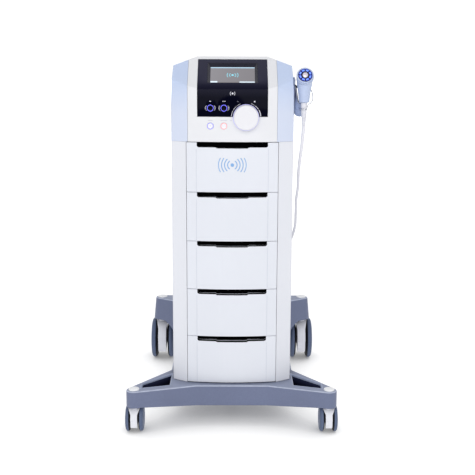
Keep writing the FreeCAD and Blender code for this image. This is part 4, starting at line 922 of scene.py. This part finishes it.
def knob():
    """A turned knob with rounded edges, a slightly dished face and one finger dimple."""
    face = KNOB_RADIUS - 0.0048
    profile = [(0.0, 0.0), (KNOB_RADIUS - 0.0040, 0.0)]
    for k in range(7):
        turn = math.radians(90 * k / 6)
        profile.append((KNOB_RADIUS - 0.0012 + 0.0012 * math.sin(turn),
                        0.0012 - 0.0012 * math.cos(turn)))
    profile += [(KNOB_RADIUS, 0.0050), (KNOB_RADIUS - 0.0001, 0.0120),
                (KNOB_RADIUS - 0.0004, 0.0168)]
    for k in range(1, 9):
        turn = math.radians(90 * k / 8)
        profile.append((KNOB_RADIUS - 0.0004 - 0.0044 * (1 - math.cos(turn)),
                        0.0168 + 0.0048 * math.sin(turn)))
    for k in range(1, 15):
        radius = face * (1 - k / 14.0)
        profile.append((radius, KNOB_HEIGHT - 0.0004 - 0.0010 * (1 - (radius / face) ** 2)))
    dimple = Vector((KNOB_X + DIMPLE_REACH * math.sin(DIMPLE_TURN), 0,
                     KNOB_Z + DIMPLE_REACH * math.cos(DIMPLE_TURN)))

    def dent(point):
        if point.y > FRONT_Y - KNOB_GAP - KNOB_HEIGHT + 0.004:
            return point
        away = math.hypot(point.x - dimple.x, point.z - dimple.z)
        if away < DIMPLE_RADIUS:
            share = 0.5 + 0.5 * math.cos(math.pi * away / DIMPLE_RADIUS)
            return point + Vector((0, DIMPLE_DEPTH * share, 0))
        return point

    turned = lathe("intensity_knob_turned", profile, (KNOB_X, FRONT_Y - KNOB_GAP, KNOB_Z),
                   FORWARD, "knob_white_satin", "knob", segs=144, angle=60,
                   dent=dent)
    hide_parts("intensity_knob")
    ring = [(KNOB_RADIUS + out, height) for out, height in (
        (0.0002, 0.0), (0.0012, 0.0), (0.0012, 0.0010), (0.0010, 0.0014),
        (0.0005, 0.0014), (0.0002, 0.0010))]
    lathe("knob_light_ring", ring, (KNOB_X, FRONT_Y - 0.0004, KNOB_Z), FORWARD,
          "knob_light_violet", "tower", segs=128, angle=50)


buttons()
knob()


# ---------------------------------------------------------------- applicator
GRIP_X, GRIP_Y = 0.1906, -0.247     # the axis of the upright handle
FACE_TILT = 28.0                    # degrees the head looks above level
FACE_OUT = Vector((0, -math.cos(math.radians(FACE_TILT)), math.sin(math.radians(FACE_TILT))))
FACE_UP = Vector((0, math.sin(math.radians(FACE_TILT)), math.cos(math.radians(FACE_TILT))))
FACE_CENTRE = Vector((GRIP_X, GRIP_Y, 0.949)) + FACE_OUT * 0.025
X_AXIS = Vector((1, 0, 0))

# The handle: height, radius
HANDLE = [(0.8886, 0.0112), (0.8888, 0.0126), (0.8895, 0.0136), (0.8910, 0.0141),
          (0.8960, 0.0145), (0.9020, 0.0151), (0.9090, 0.0159), (0.9160, 0.0168),
          (0.9225, 0.0178), (0.9280, 0.0189), (0.9325, 0.0200)]
# The head's rim and the well for the ring: distance outwards, radius
HEAD_RIM = [(-0.0006, 0.0226), (0.0010, 0.0224), (0.0022, 0.0216), (0.0026, 0.0205),
            (0.0022, 0.0194), (0.0012, 0.0187), (-0.0010, 0.0185), (-0.0032, 0.0185)]
RING_LENS = [(0.0076, -0.0030), (0.0183, -0.0030), (0.0183, -0.0004), (0.0178, 0.0003),
             (0.0168, 0.0006), (0.0098, 0.0004), (0.0084, 0.0), (0.0076, -0.0008)]
TRANSDUCER_CAP = [(0.0, 0.0024), (0.0016, 0.0024), (0.0030, 0.0023), (0.0044, 0.0021),
                  (0.0052, 0.0018), (0.0054, 0.0014), (0.0058, 0.0014), (0.0064, 0.0013),
                  (0.0070, 0.0008), (0.0073, 0.0), (0.0073, -0.0030), (0.0, -0.0030)]
TRANSDUCER_LENS = [(0.0, 0.0029), (0.0012, 0.0028), (0.0021, 0.0025), (0.0024, 0.0022),
                   (0.0024, 0.0018), (0.0, 0.0018)]
# The smooth collar above the ribs: radius, height
RELIEF_COLLAR = [(0.0082, 0.8668), (0.0084, 0.8690), (0.0083, 0.8704), (0.0074, 0.8715),
                 (0.0068, 0.8722), (0.0068, 0.8734), (0.0078, 0.8741), (0.0084, 0.8748),
                 (0.0085, 0.8765), (0.0085, 0.8860), (0.0083, 0.8878), (0.0078, 0.8884),
                 (0.0, 0.8884)]


def applicator_shell():
    """One skin: the round handle swells upwards and turns forwards into the head."""
    segs = 56
    rows = [(Vector((GRIP_X, GRIP_Y, z)), Vector((0, -1, 0)), radius) for z, radius in HANDLE]
    neck = Vector((GRIP_X, GRIP_Y, HANDLE[-1][0]))
    steps = 9
    for k in range(1, steps + 1):
        share = k / steps
        tilt = math.radians(90.0 - FACE_TILT) * (share ** 1.1)
        centre = neck + Vector((0, -0.0215 * (share ** 1.7), 0.0260 * share ** 0.92))
        rows.append((centre, Vector((0, -math.cos(tilt), -math.sin(tilt))),
                     0.0200 + 0.0024 * math.sin(share * math.pi / 2)))
    seat = FACE_CENTRE - FACE_OUT * 0.0024
    rows += [(seat + FACE_OUT * out, -FACE_UP, radius) for out, radius in HEAD_RIM]
    verts = []
    for centre, side, radius in rows:
        for i in range(segs):
            turn = 2 * math.pi * i / segs
            verts.append(centre + X_AXIS * (radius * math.cos(turn))
                         + side * (radius * math.sin(turn)))
    faces = quads(len(rows), segs)
    bottom, top, last = len(verts), len(verts) + 1, (len(rows) - 1) * segs
    verts += [Vector((GRIP_X, GRIP_Y, HANDLE[0][0])), seat - FACE_OUT * 0.0032]
    faces += [(bottom, (i + 1) % segs, i) for i in range(segs)]
    faces += [(top, last + i, last + (i + 1) % segs) for i in range(segs)]
    shell = make("applicator_shell", verts, faces, "applicator_shell_blue", "applicator",
                 angle=48)
    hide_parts("applicator_body")


def on_face(a, b, out):
    return FACE_CENTRE + X_AXIS * a + FACE_UP * b + FACE_OUT * out


def face_lathe(name, profile, material, angle, segs=72):
    return lathe(name, profile, FACE_CENTRE, FACE_OUT, material, "applicator", segs=segs,
                 angle=angle)


def applicator_head():
    """A clear navy ring with eight lit windows, and the polished transducer inside it."""
    lens = face_lathe("applicator_ring_lens", RING_LENS, "ring_navy_clear", 50,
                      segs=96)
    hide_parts("applicator_light_ring")
    middles = [90 + 45 * k + 22.5 for k in range(8)]
    windows = [arc((0, 0), 0.0118, 0.0156, middle - 14.5, middle + 14.5, steps=14)
               for middle in middles]
    bands("applicator_lit_windows", windows, 0.00085, "ring_led_blue", "applicator", on_face)
    face_lathe("applicator_ring_glow", [(0.0170, 0.0002), (0.0172, 0.00072), (0.0177, 0.00070),
                                        (0.0178, 0.0002)], "ring_glow_soft", 60)
    cap = face_lathe("transducer_cap", TRANSDUCER_CAP, "transducer_polished",
                     40)
    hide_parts("transducer")
    face_lathe("transducer_lens", TRANSDUCER_LENS, "transducer_lens_pink",
               50, segs=40)


def strain_relief():
    """A ribbed taper under a groove and a smooth collar."""
    profile = [(0.0, 0.8290), (0.0047, 0.8290), (0.0050, 0.8296)]
    # one rib: added radius, added height
    rib = ((-0.0001, 0.0), (0.0003, 0.0006), (0.0003, 0.0020), (-0.0001, 0.0026),
           (-0.00075, 0.0030), (-0.00075, 0.0034))
    for k in range(9):
        z = 0.8315 + 0.0038 * k
        radius = 0.0052 + (0.0080 - 0.0052) * ((z - 0.8315) / 0.0345) ** 0.9
        profile += [(radius + out, z + rise) for out, rise in rib]
    relief = lathe("applicator_strain_relief_turned", profile + RELIEF_COLLAR,
                   (GRIP_X, GRIP_Y, 0), (0, 0, 1), "cable_white_jacket", "applicator", segs=56,
                   angle=55)
    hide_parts("applicator_strain_relief")


applicator_shell()
applicator_head()
strain_relief()


# ---------------------------------------------------------------- applicator holder
SHEATH_X, SHEATH_Y = 0.181, -0.214
SHEATH_OUTER, SHEATH_INNER = 0.0165, 0.0143
BOWL_Z, SHEATH_FLOOR = 0.8662, 0.8690   # where the wall leaves the bowl; the inside floor
PLATE_X = 0.1661                        # outer face of the wall plate

# Wires, in millimetres
KEEPER_WIRE = [
    (165.0, -216.0, 932.0), (178.0, -219.0, 933.0), (192.0, -220.0, 932.5),
    (204.5, -223.5, 929.0), (211.5, -232.0, 918.0), (214.0, -240.0, 905.0),
    (213.0, -246.5, 895.0), (207.5, -251.5, 887.5), (200.5, -254.8, 882.0),
    (198.6, -255.4, 875.0), (195.5, -258.0, 870.6), (190.0, -259.2, 870.2),
    (183.5, -257.0, 871.0), (179.4, -249.0, 872.5), (178.2, -240.0, 874.0),
    (178.6, -229.4, 876.0)]
LOOP_WIRE = [
    (164.6, -208.0, 952.5), (166.8, -207.8, 951.8), (168.6, -207.6, 946.0),
    (168.8, -207.8, 938.0), (168.2, -209.5, 929.5)]


def rim_height(angle):
    """The sheath's rim: low in front and on the right, high beside the console."""
    back = max(0.0, math.sin(angle))
    left = max(0.0, -math.cos(angle))
    rise = max(0.0, min(1.0, (left * 1.15 + back * 0.35 - 0.30) / 0.80))
    rise = rise * rise * (3 - 2 * rise)
    return 0.8865 + 0.0455 * rise - 0.0015 * math.cos(angle)


def sheath():
    """A round-bottomed cup whose wall runs up on a slant."""
    segs, bowl_steps, wall_steps = 72, 6, 14
    verts = []

    def ring(radius, height):
        for i in range(segs):
            angle = 2 * math.pi * i / segs
            verts.append(Vector((SHEATH_X + radius * math.cos(angle),
                                 SHEATH_Y + radius * math.sin(angle), height(angle))))

    for k in range(bowl_steps + 1):
        turn = math.radians(90 * k / bowl_steps)
        ring(max(SHEATH_OUTER * math.sin(turn), 0.0002),
             lambda angle: BOWL_Z - SHEATH_OUTER * math.cos(turn))
    for k in range(1, wall_steps + 1):
        ring(SHEATH_OUTER,
             lambda angle: BOWL_Z + (rim_height(angle) - BOWL_Z) * k / wall_steps)
    for radius, rise in ((SHEATH_OUTER - 0.0004, 0.0006), (SHEATH_OUTER - 0.0011, 0.0009),
                         (SHEATH_INNER + 0.0004, 0.0006), (SHEATH_INNER, 0.0)):
        ring(radius, lambda angle: rim_height(angle) + rise)
    for k in range(1, wall_steps + 1):
        ring(SHEATH_INNER, lambda angle: rim_height(angle)
             + (SHEATH_FLOOR - rim_height(angle)) * k / wall_steps)
    rows = len(verts) // segs
    faces = quads(rows, segs)
    # material index by row: outside 0, rim 2, inside 1; the inside is painted darker as shade
    outside, rim = bowl_steps + wall_steps, 3
    zones = [0] * outside + [2] * rim + [1] * (rows - 1 - outside - rim)
    zones = [zone for zone in zones for _ in range(segs)]
    centre, last = len(verts), (rows - 1) * segs
    verts.append(Vector((SHEATH_X, SHEATH_Y, SHEATH_FLOOR)))
    faces += [(centre, last + i, last + (i + 1) % segs) for i in range(segs)]
    faces.append(tuple(range(segs)))
    zones += [1] * segs + [0]
    obj = make("holder_sheath", verts, faces,
               ("holder_blue_grey_shaded", "holder_inside_painted_shade", "holder_rim_pale"), "tower",
               angle=50, zones=zones)
    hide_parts("applicator_holder")


def holder_fittings():
    """The wall plate with its screws, the two wires and the dark clips that hold them."""
    outline = rounded_box(-0.2240, -0.2040, 0.8560, 0.9530, 0.002, steps=5)
    slab("holder_wall_plate", outline, 0.0026, "holder_blue_grey", "tower",
         lambda y, z, out: Vector((PLATE_X + out, y, z)), bevel=0.0006)
    screw = [(0.0, 0.0006), (0.0012, 0.0006), (0.0012, 0.0010), (0.0026, 0.0010),
             (0.0032, 0.0006), (0.0034, 0.0), (0.0, 0.0)]
    for k, z in enumerate((0.947, 0.861)):
        lathe("holder_screw_%d" % k, screw, (PLATE_X, -0.2215, z), (1, 0, 0), "brushed_steel",
              "tower", segs=28)
    for name, table, per, radius in (("holder_keeper_wire", KEEPER_WIRE, 7, 0.00135),
                                     ("holder_loop_wire", LOOP_WIRE, 8, 0.0012)):
        sweep(name, spline(table, per), lambda share: radius, "bright_wire", "tower", segs=14)
    # clips: centre, then size
    clips = (((0.1664, -0.2215, 0.9335), (0.0060, 0.0070, 0.0050)),
             ((0.1728, -0.2192, 0.9290), (0.0052, 0.0062, 0.0056)))
    for k, ((x, y, z), size) in enumerate(clips):
        dx, dy, dz = (length / 2 for length in size)
        outline = [(x - dx, z - dz), (x + dx, z - dz), (x + dx, z + dz), (x - dx, z + dz)]
        slab("holder_clip_%d" % k, outline, size[1], "dark_plastic", "tower",
             lambda a, b, out: Vector((a, y - dy - out, b)), bevel=0.0010)


sheath()
holder_fittings()


# ---------------------------------------------------------------- applicator cable
# From the strain relief down the right side and round to the rear, in millimetres
CABLE_TRACK = [
    (190.6, -247.0, 828.2), (189.6, -246.5, 812.0), (186.8, -241.0, 772.0),
    (183.6, -226.0, 735.0), (182.6, -200.0, 696.0), (184.0, -170.0, 654.0),
    (182.4, -135.0, 612.0), (184.8, -95.0, 566.0), (186.6, -55.0, 524.0),
    (183.0, -15.0, 490.0), (178.5, 30.0, 462.0), (176.0, 80.0, 448.0),
    (173.5, 130.0, 454.0), (160.0, 176.0, 494.0), (128.0, 196.0, 568.0),
    (104.0, 196.0, 640.0), (96.5, 186.0, 686.0), (96.0, 168.0, 700.0), (96.0, 160.0, 700.0)]
# The plug on the rear: radius, distance behind the cover
REAR_PLUG = [
    (0.0, 0.0), (0.0118, 0.0), (0.0125, 0.0006), (0.0125, 0.0020), (0.0118, 0.0026),
    (0.0095, 0.0028), (0.0092, 0.0040), (0.0090, 0.0110), (0.0082, 0.0122), (0.0062, 0.0128),
    (0.0060, 0.0140), (0.0066, 0.0144), (0.0066, 0.0156), (0.0058, 0.0160), (0.0064, 0.0164),
    (0.0062, 0.0176), (0.0052, 0.0180), (0.0050, 0.0192), (0.0, 0.0194)]


def cable():
    def radius(share):
        """Thicker near the applicator, even after the first part of the length."""
        return 0.0040 + 0.0012 * max(0.0, 1 - share / 0.28)

    jacket = sweep("applicator_cable_jacket", spline(CABLE_TRACK, per=12), radius,
                   "cable_white_jacket", "tower", segs=20)
    # the jacket is taken off the tower body and kept where it lies, on no body
    jacket.parent = None
    jacket.matrix_world = Matrix.Identity(4)
    del jacket["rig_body"]
    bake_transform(jacket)
    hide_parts("applicator_cable")
    lathe("cable_rear_plug", REAR_PLUG, (0.096, 0.1501, 0.700), (0, 1, 0), "dark_plastic",
          "tower", segs=48, angle=45)


cable()


# ---------------------------------------------------------------- casters
# radius and width of one wheel, gap between the two; x and y of the stem, trail of the axle
# behind it; scale of the small details; top of the housing and the depth of the hood's roof
# below it inside; half width of the hood; radius of the stem collar
Caster = namedtuple("Caster", "where radius width gap x y trail scale top roof hood collar")
CASTERS = (
    Caster("front", 0.0365, 0.013, 0.0225, 0.2645, -0.348, 0.014, 1.0,
           0.0746, 0.0014, 0.0182, 0.0105),
    Caster("rear", 0.0675, 0.0205, 0.034, 0.236, 0.287, 0.016, 1.62,
           0.1434, 0.0030, 0.0225, 0.0145))

# Wheel section, times the caster's scale: distance in from the tread, distance in from the
# wheel's side towards the middle of the caster or its outer side
WHEEL_INSIDE = [(0.0074, 0.0), (0.0052, 0.0004), (0.0034, 0.0012), (0.0018, 0.0022),
                (0.0006, 0.0036), (0.0, 0.0052)]
WHEEL_SHOULDER = [(0.0006, 0.0036), (0.0018, 0.0021), (0.0034, 0.0011), (0.0056, 0.0004)]
HUB_GROOVE = [(0.0092, 0.0), (0.0098, 0.0009), (0.0106, 0.0012), (0.0112, 0.0006),
              (0.0130, 0.0004)]
# Hub face: share of the wheel radius, distance in times the scale
HUB_FACE = [(0.50, 0.0013), (0.40, 0.0018), (0.36, 0.0014), (0.22, 0.0011), (0.20, 0.0018)]
# Axle cap, times the scale: radius, distance in
AXLE_CAP = [(0.0, 0.0004), (0.0022, 0.0005), (0.0040, 0.0009), (0.0046, 0.0016),
            (0.0046, 0.0034), (0.0, 0.0034)]


def wheel_pair(caster, tag, sign):
    radius, scale = caster.radius, caster.scale
    near = caster.gap / 2
    far = near + caster.width
    bore = 0.0047 * scale
    inside = [(bore, near)] + [(radius - d * scale, near + h * scale) for d, h in WHEEL_INSIDE]
    tread = [(radius, near + caster.width * 0.50), (radius - 0.0001, far - 0.0052 * scale)]
    tread += [(radius - d * scale, far - h * scale) for d, h in WHEEL_SHOULDER]
    tread += [(radius - 0.0080 * scale, far - 0.0001)]
    hub = [(radius - d * scale, far - h * scale) for d, h in HUB_GROOVE]
    hub += [(radius * share, far - h * scale) for share, h in HUB_FACE]
    hub += [(bore, far - 0.0020 * scale)]
    # the inner face is black as far as the rounded corner, which belongs to the tread
    zones = [1] * 5 + [0] * (len(inside) - 5 + len(tread)) + [2] * len(hub)
    cap = [(r * scale, far - h * scale) for r, h in AXLE_CAP]
    centre = (sign * caster.x, caster.y + caster.trail, radius)
    body = tag + "_wheelset"
    # on both sides the wheel named inner is the one towards -X
    for hand, way in (("inner", -1), ("outer", 1)):
        wheel = lathe("%s_wheel_%s" % (tag, hand), inside + tread + hub, centre, (way, 0, 0),
                      ("wheel_tread", "wheel_inside_black", "wheel_hub_cover"), body, segs=112,
                      angle=42, zones=zones)
        if hand == "inner":
            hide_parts(tag + "_wheels")
        lathe("%s_axle_cap_%s" % (tag, hand), cap, centre, (way, 0, 0), "wheel_hub_cover",
              body, segs=36, angle=50)


def caster_web(caster, tag, x, y, half):
    """The web between the wheels: front arc, flat top, back edge down to the axle boss."""
    z, scale = caster.radius, caster.scale
    top = caster.top - 0.0012
    reach = caster.radius + 0.0004
    line = []
    for i in range(25):
        turn = math.radians(-30 + (97 + 30) * i / 24.0)
        line.append((y - reach * math.cos(turn), min(z + reach * math.sin(turn), top)))
    line += [(y + 0.0100 * scale, top), (y + 0.0150 * scale, caster.top - 0.0060 * scale)]
    boss = 0.0098 * scale
    for i in range(13):
        turn = math.radians(60 - 150 * i / 12.0)
        line.append((y + boss * math.cos(turn) * 1.15, z + boss * math.sin(turn)))
    line.append((y - 0.0120 * scale, z - 0.0110 * scale))
    count = len(line)
    verts = [Vector((x + offset, *point)) for offset in (-half, half) for point in line]
    faces = [tuple(range(count)), tuple(range(2 * count - 1, count - 1, -1))]
    for i in range(count):
        j = (i + 1) % count
        faces.append((i, count + i, count + j, j))
    web = make(tag + "_caster_web", verts, faces, "caster_nylon", tag + "_caster",
               smooth=False)
    round_edges(web, 0.0007 * scale)
    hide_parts(tag + "_caster_housing")


def caster_hood(caster, tag, x, y, web_half):
    """A curved hood over the front of the wheels that widens towards its top."""
    rows, columns = 25, 10
    scale = caster.scale
    start, end = math.radians(78), math.radians(6)
    verts = []
    # outer skin, then inner: radius, crown in the middle, distance of the roof below the top
    for reach, crown, roof in ((caster.radius + 0.0020 * scale, 0.0005 * scale, 0.0004),
                               (caster.radius + 0.0009, 0.0, caster.roof)):
        for row in range(rows):
            turn = start + (end - start) * (row / (rows - 1))
            z = caster.radius + reach * math.sin(turn)
            front = y - reach * math.cos(turn)
            rise = max(0.0, min(1.0, 1 - (caster.top - z) / (0.0190 * scale)))
            half = web_half + (caster.hood - web_half) * rise ** 1.1
            for column in range(columns + 1):
                across = -1 + 2 * column / columns
                verts.append(Vector((x + half * across, front - crown * (1 - across * across),
                                     min(z, caster.top - roof))))
    width = columns + 1
    inner = rows * width
    faces = []
    for a, b, c, d in quads(rows, width, around=False):
        faces += [(a, b, c, d), (inner + a, inner + d, inner + c, inner + b)]
    for row in range(rows - 1):
        p, q = row * width, row * width + columns
        faces += [(p, p + width, inner + p + width, inner + p),
                  (q, inner + q, inner + q + width, q + width)]
    for c in range(columns):
        p = (rows - 1) * width + c
        faces += [(c, inner + c, inner + c + 1, c + 1), (p, p + 1, inner + p + 1, inner + p)]
    hood = make(tag + "_caster_hood", verts, faces, "caster_nylon", tag + "_caster",
                angle=45)
    soft = hood.modifiers.new("soft", "BEVEL")
    soft.width = 0.0005
    soft.segments = 2
    soft.limit_method = "ANGLE"
    soft.angle_limit = math.radians(50)
    # the bevel has to come before the edge split
    hood.modifiers.move(len(hood.modifiers) - 1, 0)


def stem_collar(caster, tag, x):
    low, top, radius, scale = (caster.top - 0.0060 * caster.scale, caster.top, caster.collar,
                               caster.scale)
    profile = [(0.0, low), (radius, low), (radius, top - 0.0012), (radius - 0.0006, top - 0.0004),
               (0.0058 * scale, top - 0.0004), (0.0055 * scale, top - 0.0010),
               (0.0, top - 0.0010)]
    lathe(tag + "_stem_collar", profile, (x, caster.y, 0), (0, 0, 1), "caster_nylon",
          tag + "_caster", segs=64, angle=45)


def caster_housing(caster, tag, sign):
    x, y = sign * caster.x, caster.y + caster.trail
    web_half = caster.gap / 2 - 0.0023 * caster.scale
    caster_web(caster, tag, x, y, web_half)
    caster_hood(caster, tag, x, y, web_half)
    stem_collar(caster, tag, x)


for build in (wheel_pair, caster_housing):
    for caster in CASTERS:
        for side, sign in SIDES:
            build(caster, "%s_%s" % (caster.where, side), sign)


# ---------------------------------------------------------------- wells in the base casting
# Outline of the left well as distance from the middle plane and y, counter-clockwise on -X
WELL = [(0.245, -0.336), (0.1705, -0.3135), (0.1705, -0.226), (0.245, -0.302)]
# The dark sheet of painted shade inside the well: inset, corner, z
WELL_SHADE_SHEET = [(0.00035, 0.0006, 0.1178), (0.0009, 0.0010, 0.1010), (0.0022, 0.0016, 0.0796)]
# The bead round the opening, painted lighter as a highlight: inset, z
BEAD = [(0.0007, 0.1166), (0.0006, 0.1190), (0.0000, 0.1209), (-0.0012, 0.1222),
        (-0.0026, 0.1227), (-0.0040, 0.1226), (-0.0047, 0.1221), (-0.0048, 0.1208)]


def shifted(points, inset):
    """A closed counter-clockwise outline moved inwards, or outwards when negative."""
    moved = []
    for i, point in enumerate(points):
        p0, p1, p2 = Vector(points[i - 1]), Vector(point), Vector(points[(i + 1) % len(points)])
        e1, e2 = (p1 - p0).normalized(), (p2 - p1).normalized()
        mitre = Vector((-e1.y, e1.x)) + Vector((-e2.y, e2.x))
        mitre = mitre / max(mitre.length_squared, 1e-9) * 2.0
        moved.append((p1.x + mitre.x * inset, p1.y + mitre.y * inset))
    return moved


def eased(points, radius):
    """A closed outline with its corners rounded."""
    steps = 6
    line = []
    for i, point in enumerate(points):
        p0, p1, p2 = Vector(points[i - 1]), Vector(point), Vector(points[(i + 1) % len(points)])
        u, v = (p0 - p1).normalized(), (p2 - p1).normalized()
        half = math.acos(max(-1.0, min(1.0, u.dot(v)))) / 2
        reach = radius / math.tan(half)
        a, b = p1 + u * reach, p1 + v * reach
        for k in range(steps + 1):
            t = k / steps
            line.append(tuple((a * (1 - t) + p1 * t) * (1 - t) + (p1 * (1 - t) + b * t) * t))
    return line


def well_rings(outline, rows):
    return [Vector((x, y, z)) for inset, corner, z in rows
            for x, y in eased(shifted(outline, inset), corner)]


def wells():
    for side, sign in SIDES:
        outline = [(sign * x, y) for x, y in WELL]
        if side == "right":
            outline.reverse()   # keeps the mirrored outline counter-clockwise
        # a dark sheet of painted shade inside the well
        verts = well_rings(outline, WELL_SHADE_SHEET)
        count = len(verts) // len(WELL_SHADE_SHEET)
        faces = quads(len(WELL_SHADE_SHEET), count) + [tuple(range(len(verts) - count, len(verts)))]
        make("base_well_painted_shade_%s" % side, verts, faces, "base_well_shade", "tower",
             angle=40)
        rows = [(inset, 0.0008 if inset > 0 else 0.0030, z) for inset, z in BEAD]
        make("base_well_bead_%s" % side, well_rings(outline, rows),
             quads(len(BEAD), count, wrap=True), "base_bead_light", "tower",
             angle=60)


wells()


# ---------------------------------------------------------------- floor, light, camera
def floor():
    mesh = bpy.data.meshes.new("floor")
    mesh.from_pydata([(-60, -30, 0), (60, -30, 0), (60, 160, 0), (-60, 160, 0)], [],
                     [(0, 1, 2, 3)])
    obj = bpy.data.objects.new("floor", mesh)
    scene.collection.objects.link(obj)
    tree = new_material("floor_pale")
    # the camera sees a darker, glowing floor whose glow is dimmed by ambient occlusion as a
    # painted contact shadow; other rays see pale paper
    seen = tree.node("ShaderNodeLightPath").outputs["Is Camera Ray"]
    paper = tree.tint(tree.noise(scale=1.2), (0.80, 0.80, 0.80, 1), (0.82, 0.82, 0.82, 1))
    # painted contact shadow: less glow where ambient occlusion is low
    painted_contact_shadow = tree.remap(tree.ambient(samples=12, distance=0.20), span=(0.12, 0.78),
                         to=(0.15, 0.76))
    away = tree.node("ShaderNodeVectorMath", {0: tree.coords["Object"]}, operation="LENGTH")
    far = tree.remap(away.outputs["Value"], span=(1.0, 5.0), to=(0.0, 0.6))
    shown = tree.times(tree.math("ADD", painted_contact_shadow, far), seen)
    hidden = tree.times(tree.math("SUBTRACT", 1.0, seen), 0.30)
    tree.fill(tree.shader, {
        "Base Color": tree.tint(seen, paper, (0.45, 0.45, 0.45, 1)),
        "Roughness": 0.9, "Specular IOR Level": 0.05, "Emission Color": (1, 1, 1, 1),
        "Emission Strength": tree.math("ADD", shown, hidden)})
    mesh.materials.append(MATERIALS["floor_pale"])


def world():
    """White to the camera; a soft gradient, brighter low down, for the lighting."""
    scene.world = bpy.data.worlds.new("studio")
    tree = Nodes(scene.world)
    strength = tree.remap(tree.axis(tree.coords["Generated"], "Z"), span=(-0.1, 1.0),
                          to=(0.80, 0.52))
    # background inputs: 0 colour, 1 strength
    seen = tree.node("ShaderNodeBackground", {0: (1, 1, 1, 1), 1: 1.05})
    lit = tree.node("ShaderNodeBackground", {0: (0.992, 0.994, 1.0, 1), 1: strength})
    mix = tree.node("ShaderNodeMixShader", {
        0: tree.node("ShaderNodeLightPath").outputs["Is Camera Ray"],
        1: lit.outputs[0], 2: seen.outputs[0]})
    tree.node("ShaderNodeOutputWorld", {0: mix.outputs[0]})


def softbox(name, place, target, width, height, power):
    light = bpy.data.lights.new(name, "AREA")
    light.shape = "RECTANGLE"
    light.size = width
    light.size_y = height
    light.energy = power
    obj = bpy.data.objects.new(name, light)
    scene.collection.objects.link(obj)
    obj.location = place
    obj.rotation_mode = "QUATERNION"
    obj.rotation_quaternion = (Vector(target) - Vector(place)).to_track_quat("-Z", "Y")


def camera():
    data = bpy.data.cameras.new("camera")
    data.lens = 65.18
    data.sensor_width = 36.0
    data.clip_start = 0.05
    data.clip_end = 400.0
    obj = bpy.data.objects.new("camera", data)
    scene.collection.objects.link(obj)
    heading, pitch, roll = (math.radians(angle) for angle in (-0.366, 79.30, 0.25))
    obj.matrix_world = (Matrix.Translation((0.0, -2.5626, 0.960))
                        @ Matrix.Rotation(heading, 4, "Z") @ Matrix.Rotation(pitch, 4, "X")
                        @ Matrix.Rotation(roll, 4, "Z"))
    scene.camera = obj
    scene.view_settings.view_transform = "Standard"
    scene.view_settings.look = "None"
    scene.view_settings.exposure = 0.0


floor()
world()
softbox("softbox_top", place=(0.0, 0.9, 2.9), target=(0, -0.1, 0.3), width=2.6, height=1.8,
        power=12.0)
softbox("softbox_front", place=(0.10, -3.7, 2.1), target=(0, -0.2, 0.6), width=2.6, height=1.8,
        power=48.0)
softbox("softbox_left", place=(-2.8, -1.2, 1.5), target=(0, -0.1, 0.6), width=1.2, height=1.8,
        power=3.0)
camera()
